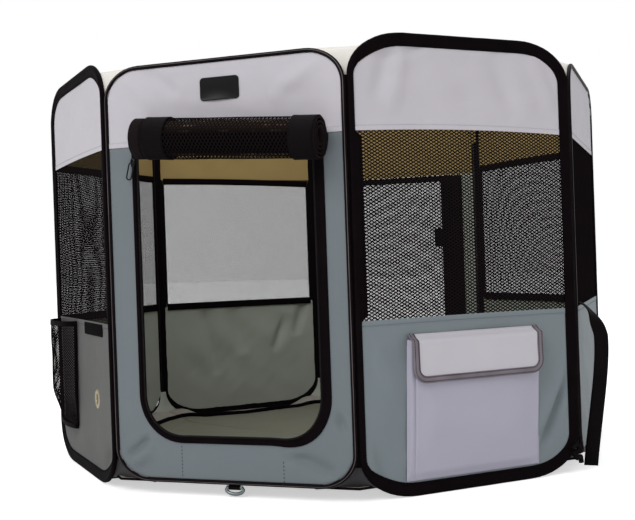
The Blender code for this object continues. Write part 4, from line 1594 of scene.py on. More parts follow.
# Each short row of stitches at a door's foot: its place along the side, its lower end and its upper end.
FOOT_ROWS = ((-0.0745, 0.028, 0.067), (0.0740, 0.025, 0.050))
LOOKS = {
    "front": Look(DOOR_CLOTH, folds={
        "upper": (
            Fold((-0.150, 0.588), (-0.100, 0.520), 0.009, 0.0042),
            Fold((-0.120, 0.590), (-0.060, 0.545), 0.008, -0.0034),
            Fold((0.150, 0.580), (0.070, 0.530), 0.012, 0.0038),
        ),
        "lower": (
            Fold((-0.167, 0.043), (-0.114, 0.087), 0.0048, -0.0065),
            Fold((-0.170, 0.030), (-0.118, 0.062), 0.008, 0.0060),
            Fold((0.066, 0.070), (0.156, 0.030), 0.009, -0.0085),
            Fold((0.136, 0.128), (0.172, 0.084), 0.007, -0.0065),
        ),
    }),
    "front_right": Look(GREY_CLOTH, (0.0045, 0.0, 0.0), {
        "upper": (
            Fold((-0.112, 0.596), (-0.138, 0.515), 0.010, -0.0042),
            Fold((-0.094, 0.592), (-0.116, 0.500), 0.011, 0.0042),
            Fold((-0.140, 0.575), (-0.060, 0.592), 0.006, -0.0030),
            Fold((0.112, 0.592), (0.150, 0.510), 0.011, 0.0038),
            Fold((0.040, 0.590), (0.090, 0.500), 0.016, -0.0034),
        ),
        "lower": (
            Fold((0.174, 0.164), (0.108, 0.036), 0.0065, -0.0115),
            Fold((0.158, 0.165), (0.098, 0.050), 0.010, 0.0070),
            Fold((-0.160, 0.078), (-0.138, 0.022), 0.010, -0.0049),
            Fold((-0.150, 0.205), (-0.115, 0.120), 0.012, 0.0034),
        ),
    }),
    "back_right": Look(GREY_CLOTH, (0.002, 0.0, 0.0)),
    "back_left": Look(GREY_CLOTH, (0.002, 0.0035, -0.0070), {
        "lower": (
            Fold((-0.150, 0.235), (-0.120, 0.150), 0.010, 0.0075),
            Fold((-0.105, 0.200), (-0.070, 0.120), 0.009, 0.0065),
            Fold((0.080, 0.230), (0.060, 0.080), 0.012, 0.0060),
            Fold((0.020, 0.225), (0.000, 0.120), 0.016, 0.0050),
        ),
    }),
    # Its lower cloth carries painted shade.
    "front_left": Look(SHADED_CLOTH, (0.002, 0.0, 0.0), {
        "lower": (Fold((0.165, 0.060), (0.120, 0.028), 0.008, -0.0038),),
    }),
}


@dataclass
class Window(Assembly):
    """The mesh between the two cloths of a side with no door."""

    bow: Triple
    overlap: float = 0.0060
    behind: float = 0.0011
    bulge: float = 0.0016

    def build(self) -> None:
        """Stretches the net across the side and binds its seams inside."""
        plan = self.plan
        width = 2 * (self.half - self.side.form.tuck)
        low, high = plan.low_seam - self.overlap, plan.high_seam + self.overlap
        u, v = np.meshgrid(np.linspace(-0.5, 0.5, 40) * width, np.linspace(-0.5, 0.5, 30) * (high - low))
        crown = (1 - (2 * u / width) ** 2) * (1 - (2 * v / (high - low)) ** 2)
        outwards = -np.sign(self.side.index - 1.5)
        sag = ripple(u, v, 0.12, 0.6 * self.bulge, self.side.index) + self.bulge * outwards
        cut = Surface.flat(u, v, sag * crown - self.behind)
        sizes = {} if self.side.name in DOOR_SENSE else FAR_NET
        middle = self.place @ Matrix.Translation((0, (low + high) / 2, 0))
        made = self.knit(self.name("net"), cut, 10, self.name("mesh_window"), place=middle, **sizes)
        cut.cut
        self.name("hoop_tape")
        self.bind(plan.high_seam + 0.0064, 0.0120, 1.0, "upper_seam_tape")
        self.bind(plan.low_seam - 0.0068, 0.0130, LOW_BOW, "lower_seam_tape")

    def bind(self, height: float, width: float, share: float, label: str) -> None:
        """Sews a tape over a seam inside the pen.

        Args:
            height: Height of its middle.
            width: Its width.
            share: How much of the side's bow the seam has.
            label: Its name on the side.
        """
        reach = self.half - self.side.form.tape + 0.002
        u, v = np.meshgrid(np.linspace(-reach, reach, 60), height + np.linspace(-0.5, 0.5, 5) * width)
        v = v + share * bowed(u / self.half, self.bow)
        sag = -self.behind - 0.0011 + ripple(u, v, 0.05, 0.0003, self.side.index)
        self.cloth(self.name(label), Surface.flat(u, v, sag), (WIDE_TAPE,), thickness=0.0009)


@dataclass
class Corner:
    """The webs and the seam strip that join two sides."""

    shop: Workshop
    first: Side
    second: Side
    tuck: float = 0.0060
    behind: float = 0.0010
    strip_span: Pair = (0.046, 0.552)
    strip_tuck: float = 0.0050
    top_from: float = 0.540
    foot_to: float = 0.056
    puff: float = 0.004

    def edge_points(self, v: np.ndarray, inset: float) -> tuple[np.ndarray, np.ndarray]:
        """Points behind the edges of both sides, at given heights.

        Args:
            v: The heights.
            inset: How far inside the hoops' outer edges.

        Returns:
            The points on the first side and on the second, on the pen's axes.
        """
        found = []
        half = self.shop.plan.side / 2 - self.shop.plan.edge_gap
        for side, sense in ((self.first, 1), (self.second, -1)):
            out = sense * (side.form.edge(v, half) - inset)
            local = np.stack([out, v, np.full_like(v, -self.behind), np.ones_like(v)], 1)
            found.append((local @ np.array(self.shop.plan.place(side.index)).T)[:, :3])
        return found[0], found[1]

    def strip(self, low: float, high: float, inset: float, rows: int, lift: float) -> Surface:
        """A strip of cloth between the two sides.

        Args:
            low: Height of its foot.
            high: Height of its top.
            inset: How far it is tucked behind the hoops' edges.
            rows: Rows of points.
            lift: How far its middle stands inwards of a straight line.

        Returns:
            The strip, on the pen's axes.
        """
        v = np.linspace(low, high, rows)
        left, right = self.edge_points(v, inset)
        share = np.linspace(0, 1, 9)[None, :, None]
        grid = left[:, None] * (1 - share) + right[:, None] * share
        middle = (left + right) / 2
        inwards = -unit(middle * (1, 1, 0))
        crown = (1 - (2 * share - 1) ** 2) * lift
        grid = grid + inwards[:, None] * crown
        span = np.linalg.norm(right - left, axis=1)
        across = (share[0, :, 0] - 0.5)[None, :] * span[:, None]
        return Surface(grid, np.stack([across, np.broadcast_to(v[:, None], across.shape)], -1))

    def dress(
        self, label: str, cut: Surface, faces: tuple[Finish, ...], thickness: float
    ) -> list[tuple[Side, Piece, Surface]]:
        """Makes a strip between the two sides. Where the pen's loop is left open it is made as two halves,
        each fixed to its own side's body.

        Args:
            label: Its name at this corner.
            cut: Its shape.
            faces: Its outer finish, then its inner one.
            thickness: How thick it is.

        Returns:
            Each part, with the side that it is named after and its shape.
        """
        whole = (self.first.name, self.second.name) != OPEN_SEAM
        middle = cut.points.shape[1] // 2
        halves = [(slice(0, middle + 1), self.first), (slice(middle, None), self.second)]
        parts = [(slice(None), self.first)] if whole else halves
        dressed = []
        for span, side in parts:
            part = Surface(cut.points[:, span], cut.chart[:, span])
            name = f"{side.name}_{label}" if whole else f"{side.name}_{label}_half"
            made = part.build(name, Matrix(), [self.shop.finish(face) for face in faces])
            thicken(made, thickness)
            if whole:
                self.blend(made, cut)
            else:
                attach(made, side.body)
            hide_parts(f"{side.name}_hoop_binding")
            LOG.info("%s: %d faces", made.name, len(made.data.polygons))
            dressed.append((side, made, part))
        return dressed

    def blend(self, made: Piece, cut: Surface) -> None:
        """Bakes a strip's place into its mesh."""
        row = cut.points[cut.points.shape[0] // 2]
        middle = (row[0] + row[-1]) / 2
        middle[2] = 0
        self.first.body
        self.second.body
        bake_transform(made)

    def build(self) -> None:
        """Cuts the top web, the seam strip and the foot web."""
        plan = self.shop.plan
        seam = self.strip(*self.strip_span, self.strip_tuck, 40, 0.0002)
        top = self.strip(self.top_from, plan.web_top, self.tuck, 14, self.puff)
        foot = self.strip(plan.web_bottom, self.foot_to, self.tuck, 12, self.puff)
        strips = self.dress("seam_strip", seam, (WIDE_TAPE,), thickness=0.0009)
        tops = self.dress("top_web", top, (TOP_WEB, LIGHT_LINING), thickness=0.0007)
        feet = self.dress("foot_web", foot, (FOOT_WEB, GREY_LINING), thickness=0.0007)
        for (_, strip, _), *webs in zip(strips, tops, feet):
            for side, web, shape in webs:
                shape.cut
                shape.area


@dataclass
class FloorSheet(Assembly):
    """One side's eighth of the floor sheet, with its raised seam and its turned-up rim."""

    thickness: float = 0.0012
    rim: float = 0.0090
    seam: float = 0.0520
    seam_rise: float = 0.0075
    rim_height: float = 0.0195
    low_rim: float = 0.0045
    slope: float = 0.0800
    swell: float = 0.0030
    rim_bend: Pair = (0.096, 0.046)
    keep: float = 0.03

    def height(self, u: np.ndarray, depth: np.ndarray) -> np.ndarray:
        """Height of the sheet over the ground.

        Args:
            u: Places along the side.
            depth: Distances in from the side.

        Returns:
            The heights.
        """
        share = np.clip((self.slope - depth) / (self.slope - self.rim), 0, 1)
        rise = (self.rim_at(u) - self.thickness) * share
        reach = depth / self.plan.apothem
        edge = 1 - np.clip(np.abs(u) / (self.plan.side / 2 * np.maximum(1 - reach, 0.02)), 0, 1)
        swell = (ripple(u, depth, 0.10, 0.5, self.side.index + 40) + 0.5) * self.swell
        calm = smooth(edge * 3) * smooth((depth - self.rim) / 0.05) * smooth((1 - reach) * 3)
        return self.thickness / 2 + 0.0001 + rise + swell * calm

    def rim_at(self, u: np.ndarray) -> np.ndarray:
        """Height of the rim, which is lower behind the wide tape of every second side."""
        low = self.low_rim if self.side.kind is HoopKind.WIDE else self.rim_height
        start, run = self.rim_bend
        return low + (self.rim_height - low) * smooth((np.abs(u) - start) / run)

    def across(self, depth: np.ndarray, count: int) -> np.ndarray:
        """Places across each row of the sheet, mitred to the sides next to it."""
        wide = np.tan(self.plan.turn / 2) * (self.plan.apothem - depth)
        return np.linspace(-1, 1, count)[None, :] * wide[:, None]

    def lay(self, label: str, depth: np.ndarray, finish: Finish) -> tuple[Piece, Surface]:
        """Lays a part of the sheet.

        Args:
            label: Its name on the side.
            depth: How far in each of its rows is.
            finish: Its upper finish.

        Returns:
            The part and its shape.
        """
        u = self.across(depth, 41)
        deep = np.broadcast_to(depth[:, None], u.shape)
        cut = Surface(np.stack([u, self.height(u, deep), -deep], -1), np.stack([u, deep], -1))
        made = self.cloth(self.name(label), cut, (finish, FOOT_WEB), "floor", thickness=self.thickness)
        self.fold_away(made)
        return made, cut

    def fold_away(self, made: Piece) -> None:
        """Gives a part its own copy of its mesh."""
        self.squeeze(made, (0, 0, -self.rim), self.keep)

    def build(self) -> None:
        """Lays the sheet and its rim, with the bound seam between them and tape round the rim."""
        inner, index = self.plan.apothem, self.side.index
        depth = inner - np.linspace(1, 0, 40) ** 0.8 * (inner - self.seam)
        middle, cut = self.lay("floor_part", depth, FLOOR_CLOTH)
        rim, border = self.lay("floor_rim", np.linspace(self.rim, self.seam, 9), RIM_CLOTH)
        depth = np.full(5, self.seam)
        u = self.across(depth, 60)
        v = self.height(u, depth[:, None]) + np.linspace(-0.0002, self.seam_rise, 5)[:, None]
        v = v + ripple(u, 0 * u, 0.09, 0.0006, index + 50)
        calm = smooth((self.seam - np.abs(u) * 0.25) / 0.02)
        ridge = Surface.flat(u, v, -self.seam + ripple(u, v, 0.06, 0.0008, index + 60) * calm)
        seam = self.cloth(self.name("floor_seam"), ridge, (WIDE_TAPE,), thickness=0.0026)
        self.fold_away(seam)
        for piece, shape, share in ((middle, cut, 0.5), (rim, border, 0.85)):
            least = 0.99 * share * math.prod(shape.cut)
            pieces = [seam] if piece is middle else []
            facts = {"flat": shape.cut, "area": max(shape.area, least), "with_pieces": pieces}
        self.bind()

    def bind(self) -> None:
        """Binds the sheet's rim with black tape."""
        depth = np.full(5, self.rim - 0.0016)
        u = self.across(depth, 60)
        v = self.rim_at(u) - np.linspace(0.0034, 0.0002, 5)[:, None]
        calm = smooth((self.half - np.abs(u)) / 0.02)
        cut = Surface.flat(u, v, -depth[:, None] + ripple(u, v, 0.04, 0.0004, self.side.index + 70) * calm)
        self.cloth(self.name("floor_binding"), cut, (WIDE_TAPE,), thickness=0.0014)


def loft(name: str, rings: np.ndarray, looped: bool = False) -> Piece:
    """Skins closed rings of points, one after another.

    Args:
        name: Name of the piece.
        rings: The rings, each with the same number of points.
        looped: True where the last ring meets the first, so that there are no ends to close.

    Returns:
        The piece. Its flat map is its own first two axes.
    """
    shape = bmesh.new()
    layer = shape.loops.layers.uv.new(CLOTH_UV)
    rows = [[shape.verts.new(point) for point in ring] for ring in rings]
    following = rows[1:] + rows[:1] if looped else rows[1:]
    for below, above in zip(rows, following):
        for here, after in zip(range(len(below)), [*range(1, len(below)), 0]):
            shape.faces.new((below[here], below[after], above[after], above[here]))
    if not looped:
        shape.faces.new(rows[0][::-1])
        shape.faces.new(rows[-1])
    bmesh.ops.recalc_face_normals(shape, faces=shape.faces)
    for face in shape.faces:
        for loop in face.loops:
            loop[layer].uv = loop.vert.co.xy
    mesh = bpy.data.meshes.new(name)
    shape.to_mesh(mesh)
    shape.free()
    mesh.shade_smooth()
    mesh.set_sharp_from_angle(angle=math.radians(42))
    return show(name, mesh)


def rounded_box(half: Pair, radius: float, inset: float = 0.0, steps: int = 6) -> np.ndarray:
    """A box with round corners, counter-clockwise.

    Args:
        half: Half of its width and of its height.
        radius: Its corners' radius.
        inset: How far inside the box the line runs.
        steps: Steps in each corner.

    Returns:
        The points.
    """
    bend = max(radius - inset, 0.0001)
    turns = np.linspace(0, math.pi / 2, steps + 1)
    corner = np.stack([bend * np.cos(turns), bend * np.sin(turns)], 1)
    points = []
    for quarter, (right, up) in enumerate(((1, 1), (-1, 1), (-1, -1), (1, -1))):
        spin = quarter * math.pi / 2
        turn = np.array([[math.cos(spin), math.sin(spin)], [-math.sin(spin), math.cos(spin)]])
        middle = (right * (half[0] - inset - bend), up * (half[1] - inset - bend))
        points.append(corner @ turn + middle)
    return np.concatenate(points)


def at_height(outline: np.ndarray, height: float) -> np.ndarray:
    """An outline lifted to a height."""
    return np.insert(outline, 2, height, axis=1)


def rounded_slab(name: str, half: Pair, radius: float, steps: Sequence[Pair], foot: float = 0.0) -> Piece:
    """A slab with round corners. Each step is how far inside its outline a ring runs, and how high."""
    rings = [at_height(rounded_box(half, radius, inset), foot + height) for inset, height in steps]
    return loft(name, np.array(rings))


def bend_cord(name: str, path: np.ndarray, radius: float, closed: bool = False) -> Piece:
    """Makes a round cord or rod along a path.

    Args:
        name: Name of the piece.
        path: The points that it follows.
        radius: Its radius.
        closed: True where it comes back to its start.

    Returns:
        The piece, as a plain mesh.
    """
    line = lay_line([path], closed)
    line.data.bevel_depth, line.data.bevel_resolution, line.data.use_fill_caps = radius, 3, True
    mesh = bpy.data.meshes.new_from_object(line.evaluated_get(bpy.context.evaluated_depsgraph_get()))
    bpy.data.objects.remove(line)
    mesh.name = name
    mesh.shade_smooth()
    made = show(name, mesh)
    face_out(made)
    return made


def join(pieces: Sequence[Piece], name: str) -> Piece:
    """Joins rigid parts of one fitting into one piece.

    Args:
        pieces: The parts. The first one takes the others in.
        name: Name of the piece.

    Returns:
        The piece.
    """
    with bpy.context.temp_override(active_object=pieces[0], selected_editable_objects=list(pieces)):
        bpy.ops.object.join()
    pieces[0].name = name
    return pieces[0]


@dataclass
class DoorZip(Assembly):
    """The zip tape round a door opening, with its coil, slider and cord pull."""

    cover: float = 0.009
    coil_at: float = 0.0013
    slider_height: float = 0.457
    slider_half: Pair = (0.0040, 0.0062)
    plate: float = 0.0012
    slot: float = 0.0016
    cord: float = 0.0010
    pull_half: Pair = (0.0036, 0.0118)
    pull_turn: float = math.radians(-14)
    backing_lines: tuple[float, ...] = (0.0, 0.0060, 0.0120, 0.0180, 0.0238)

    @property
    def slider_spot(self) -> Triple:
        """Middle of the slider."""
        return -(self.plan.door_half + self.cover), self.slider_height, self.plan.face + 0.0035

    def line(self, grow: float, height: float) -> np.ndarray:
        """A line along the tape: how far outside the opening it runs, and its height off the wall."""
        plan = self.plan
        return at_height(plan.tape_line(grow, plan.zip_top, self.side.index == 0), height)

    def ribbon(self, section: Sequence[Pair]) -> Surface:
        """A strip round the door opening, from how far outside it each of its lines runs, and its height."""
        return Surface.band([self.line(*spot) for spot in section], [grow for grow, _ in section])

    def build(self) -> None:
        """Sews the tape on, then adds the coil, the slider and the pull."""
        face, wide, cover = self.plan.face, self.plan.zip_width, self.cover
        lip = ((0.0, 0.0002), (0.0002, 0.0009), (0.0040, 0.0011), (0.0052, 0.0010), (cover - 0.0016, 0.0009))
        welt = ((cover - 0.0012, 0.0019), (cover, 0.0024), (cover + 0.0012, 0.0021), (0.0140, 0.0018))
        rim = ((wide - 0.0012, 0.0017), (wide - 0.0002, 0.0010), (wide, 0.0002))
        cut = self.ribbon([(grow, face + height) for grow, height in lip + welt + rim])
        self.cloth(self.name("door_zip_tape"), cut, (WIDE_TAPE,), self.name("zip_tape"), thickness=0.0007)
        inside = self.ribbon([(grow, -0.0012 - 0.0004 * bool(grow)) for grow in self.backing_lines])
        self.cloth(self.name("door_zip_backing"), inside, (WIDE_TAPE,), thickness=0.0006)
        teeth = {"length": 0.0011, "width": 0.0034, "height": 0.0013, "lean": 0.0009}
        self.sew(self.name("zip_coil"), [self.line(self.coil_at, face + 0.0014)], COIL, 0.0014, **teeth)
        rows = ((0.0062, 0.0011), (cover + 0.0030, 0.0022), (wide - 0.0018, 0.0019))
        self.sew(self.name("zip_stitches"), [self.line(grow, face + height) for grow, height in rows], THREAD)
        self.add_slider()
        self.add_pull()

    def add_slider(self) -> None:
        """The slider: two shield-shaped plates, the post between them and the bridge on top."""
        wide, tall = self.slider_half
        turns = np.linspace(0, 2 * math.pi, 24, endpoint=False)
        width = wide * (0.78 + 0.22 * np.sin(turns))
        shield = np.stack([width * np.cos(turns), tall * np.sin(turns)], 1)
        low, gap, thick = -self.slot / 2 - self.plate, self.slot, self.plate
        steps = ((0.86, 0.0), (1.0, 0.25), (1.0, 0.75), (0.86, 1.0))
        parts = []
        for foot in (low, low + thick + gap):
            rings = [at_height(shield * size, foot + share * thick) for size, share in steps]
            parts.append(loft("plate", np.array(rings)))
        post = [at_height(shield * 0.35 + (0, 0.3 * tall), height) for height in (low, low + 2 * thick + gap)]
        parts.append(loft("post", np.array(post)))
        crown = self.slot / 2 + self.plate + 2 * self.cord + 0.0012
        foot = self.slot / 2 + self.plate * 0.6
        turn = np.linspace(0, math.pi, 13)
        arch = np.stack([np.zeros(13), 0.0050 * np.cos(turn), foot + (crown - foot) * np.sin(turn) ** 0.6], 1)
        parts.append(bend_cord("bridge", arch, 0.0008))
        slider = join(parts, self.name("dressed_slider"))
        slider.data.materials.clear()
        spot = Matrix.Translation(self.slider_spot)
        self.mount(slider, BLACK_METAL, spot, self.name("zip_slider"), body=f"{self.side.name}_slider")

    def add_pull(self) -> None:
        """The plain cord loop on the bridge."""
        half_wide, half_tall = self.pull_half
        outline = rounded_box(self.pull_half, half_wide - 0.0002, steps=5) - (0, half_tall)
        middle = Vector(self.slider_spot) + Vector((0, 0, self.slot / 2 + self.plate + self.cord + 0.0002))
        pull = bend_cord(self.name("cord_pull"), at_height(outline, 0.0), self.cord, closed=True)
        spot = Matrix.Translation(middle) @ Matrix.Rotation(self.pull_turn, 4, "Z")
        self.mount(pull, COIL, spot, self.name("zip_pull"), body=f"{self.side.name}_pull")


@dataclass
class DoorRoll(Assembly):
    """The front door, rolled up above its opening and held by two bands."""

    radius: float = 0.0283
    length: float = 0.2608
    height: float = 0.4790
    offset: float = 0.0221
    out: float = 0.0324
    tilt: float = math.radians(-3.6)
    turns: float = 3.5
    pitch: float = 0.0055
    edge_tape: float = 0.018
    tie_width: float = 0.033
    tie_places: Pair = (-0.0737, 0.1345)

    @property
    def axis_place(self) -> Matrix:
        """Where the roll's own axes stand: along it, up and outwards."""
        middle = Matrix.Translation((self.offset, self.height, self.out))
        return self.place @ middle @ Matrix.Rotation(self.tilt, 4, "Z")

    def spiral(self, span: Pair, turns: Pair, slack: float = 0.0) -> Surface:
        """Part of the rolled sheet.

        Args:
            span: Where it starts and ends along the roll.
            turns: First and last turn, counted from the outside.
            slack: How far it stands out of the roll's own line.

        Returns:
            The sheet, with the middle of its flat map at 0.
        """
        along = np.linspace(*span, max(3, int((span[1] - span[0]) / 0.0045)))
        count = max(8, int((turns[1] - turns[0]) * 44))
        turn = np.linspace(2 * math.pi * turns[0], 2 * math.pi * turns[1], count)
        coiled = self.radius + slack - self.pitch * turn / (2 * math.pi)
        run = np.concatenate([[0], np.cumsum((coiled[1:] + coiled[:-1]) / 2 * np.diff(turn))])
        run -= run[-1] / 2
        run, across = np.meshgrid(run, along, indexing="ij")
        turned = np.broadcast_to(turn[:, None], run.shape)
        loose = ripple(across, turned * 0.03, 0.09, 0.0012, 81)
        squeeze = sum(np.exp(-(((across - place + self.offset) / 0.022) ** 2)) for place in self.tie_places)
        squeeze = np.clip(squeeze, 0, 1)
        size = coiled[:, None] + loose * (1 - squeeze) - 0.0007 * squeeze
        return self.wrap(across, turned, size, np.stack([across - (span[0] + span[1]) / 2, run], -1))

    def wrap(self, across: np.ndarray, turned: np.ndarray, size: np.ndarray, chart: np.ndarray) -> Surface:
        """Cloth bent round the roll, from places along it, angles round it and distances from its axis."""
        return Surface(np.stack([across, -size * np.sin(turned), -size * np.cos(turned)], -1), chart)

    def wind(
        self,
        name: str,
        cut: Surface,
        finish: Finish,
        thickness: float,
        inwards: bool,
        node: str,
        held: str,
    ) -> None:
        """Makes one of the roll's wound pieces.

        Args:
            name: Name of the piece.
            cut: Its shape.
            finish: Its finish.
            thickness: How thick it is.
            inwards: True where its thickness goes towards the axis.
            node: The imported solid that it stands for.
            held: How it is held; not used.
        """
        made = cut.build(name, self.axis_place, [self.shop.finish(finish)])
        thicken(made, thickness, -1.0 if inwards else 0.0)
        self.fit(made, finish, node)
        cut.cut

    def build(self) -> None:
        """Rolls the net, its edge tapes and its bands."""
        reach = self.length / 2
        inner = reach - self.edge_tape
        net_span = (-inner - 0.003, inner + 0.003)
        cut = self.spiral(net_span, (0.0, 1.3), 0.0017)
        cells = {"cell_width": 0.0052, "cell_height": 0.0084, "strand_width": 0.0014}
        made = self.knit("rolled_net", cut, 60, "front_door_roll", place=self.axis_place, **cells)
        cut.cut
        wound = {"inwards": True, "node": "front_door_roll", "held": "hung"}
        core = self.spiral(net_span, (1.0, self.turns), 0.0034)
        self.wind("rolled_net_inside", core, PACKED_NET, 0.0016, **wound)
        for label, span in (("left", (-reach, -inner)), ("right", (inner, reach))):
            edge = self.spiral(span, (-0.04, self.turns), 0.0016)
            self.wind(f"rolled_{label}_edge_tape", edge, ROLL_TAPE, 0.0022, **wound)
        for label, place in zip(("left", "right"), self.tie_places):
            self.add_tie(label, place - self.offset)

    def add_tie(self, label: str, place: float) -> None:
        """A webbing band round the roll, its tail lapped over its start.

        Args:
            label: Which band.
            place: Its middle along the roll.
        """
        across = np.linspace(-0.5, 0.5, 9) * self.tie_width + place
        turn = np.linspace(-0.1, 2 * math.pi + 0.75, 90)
        closer = self.pitch * np.clip(turn, 0, 5.2) / (2 * math.pi)
        lap = 0.0013 * smooth((turn - 5.6) / 0.9) + closer[-1] * smooth((turn - 5.2) / 1.2)
        proud = 0.0006 * np.exp(-(((turn - 1.5 * math.pi) / 0.7) ** 2))
        size = self.radius + 0.0022 - closer + lap + proud
        run, wide = np.meshgrid(turn * self.radius, across, indexing="ij")
        size = size[:, None] + ripple(wide, run, 0.03, 0.0003, 5) - 0.0004 * np.cos((wide - place) * 90)
        cut = self.wrap(wide, turn[:, None], size, np.stack([run, wide - place], -1))
        wound = {"inwards": False, "node": f"{label}_roll_tie", "held": "stretched"}
        self.wind(f"{label}_roll_band", cut, WEBBING, 0.0011, **wound)


@dataclass
class BackDoor(Assembly):
    """The closed mesh door in the back side, with its taped border and its tab."""

    gap: float = 0.0006
    border: float = 0.020
    heading: float = 0.012
    tab_at: Pair = (-0.098, 0.350)
    tab_half: Pair = (0.012, 0.019)
    stitch_rows: Pair = (0.0018, 0.0150)

    def build(self) -> None:
        """Knits the door and binds it."""
        plan = self.plan
        top = plan.high_seam - self.gap
        section = ((1.0, 0.0), (0.97, 0.0008), (0.5, 0.0011), (0.0004, 0.0008), (0.0, 0.0))
        spots = [(-self.gap - self.border * share, rise) for share, rise in section]
        lines = [at_height(plan.door_line(grow, top, 14), rise) for grow, rise in spots]
        cut = Surface.band(lines, np.linspace(0, self.border, 5))
        hung = {"thickness": 0.0012, "body": "back_door"}
        self.cloth("back_door_border", cut, (WIDE_TAPE,), "back_door_flap", **hung)
        self.add_net(top)
        self.add_heading(top)
        self.add_tab()
        insets = (inset - self.gap - self.border for inset in self.stitch_rows)
        lines = [at_height(plan.door_line(inset, top, 14), 0.0018) for inset in insets]
        self.sew("back_door_stitches", lines, THREAD, body="back_door")

    def add_net(self, top: float) -> None:
        """The door's net, cut to its round corners.

        Args:
            top: Height of the door's top edge.
        """
        plan = self.plan
        inset = self.gap + self.border - 0.006
        half, low, radius = plan.door_half - inset, plan.door_foot + inset, plan.door_round - inset
        share = np.linspace(-1, 1, 61)
        u = half * np.sin(share * math.pi / 2)
        over = np.clip((np.abs(u) - (half - radius)) / radius, 0, 1)
        foot = low + radius * (1 - np.sqrt(1 - over ** 2))
        level = np.linspace(0, 1, 50)[:, None]
        v = foot + (top - foot) * level
        u = np.broadcast_to(u, v.shape)
        sag = ripple(u, v, 0.15, 0.0012, 61) - 0.0004
        middle = (low + top) / 2
        cut = Surface.flat(u, v - middle, sag)
        place = self.place @ Matrix.Translation((0, middle, 0))
        made = self.knit("back_door_net", cut, 48, "back_door_flap", place=place, body="back_door", **FAR_NET)
        cut.cut
        cut.within

    def add_heading(self, top: float) -> None:
        """The tape along the door's top seam.

        Args:
            top: Height of the door's top edge.
        """
        reach = self.plan.door_half - self.gap
        u, v = np.meshgrid(np.linspace(-reach, reach, 40), top - np.linspace(1, 0, 5) * self.heading)
        cut = Surface.flat(u, v, np.full_like(u, 0.0011))
        self.cloth("back_door_heading", cut, (WIDE_TAPE,), thickness=0.0012, body="back_door")

    def add_tab(self) -> None:
        """The webbing tab that lifts the door."""
        steps = ((0.0004, 0.0011), (0.0, 0.0016), (0.0, 0.0023), (0.0005, 0.0027))
        made = rounded_slab("back_door_lift_tab", self.tab_half, 0.003, steps)
        spot = Matrix.Translation((*self.tab_at, 0))
        self.mount(made, WEBBING, spot, "back_door_tab", body="back_door")


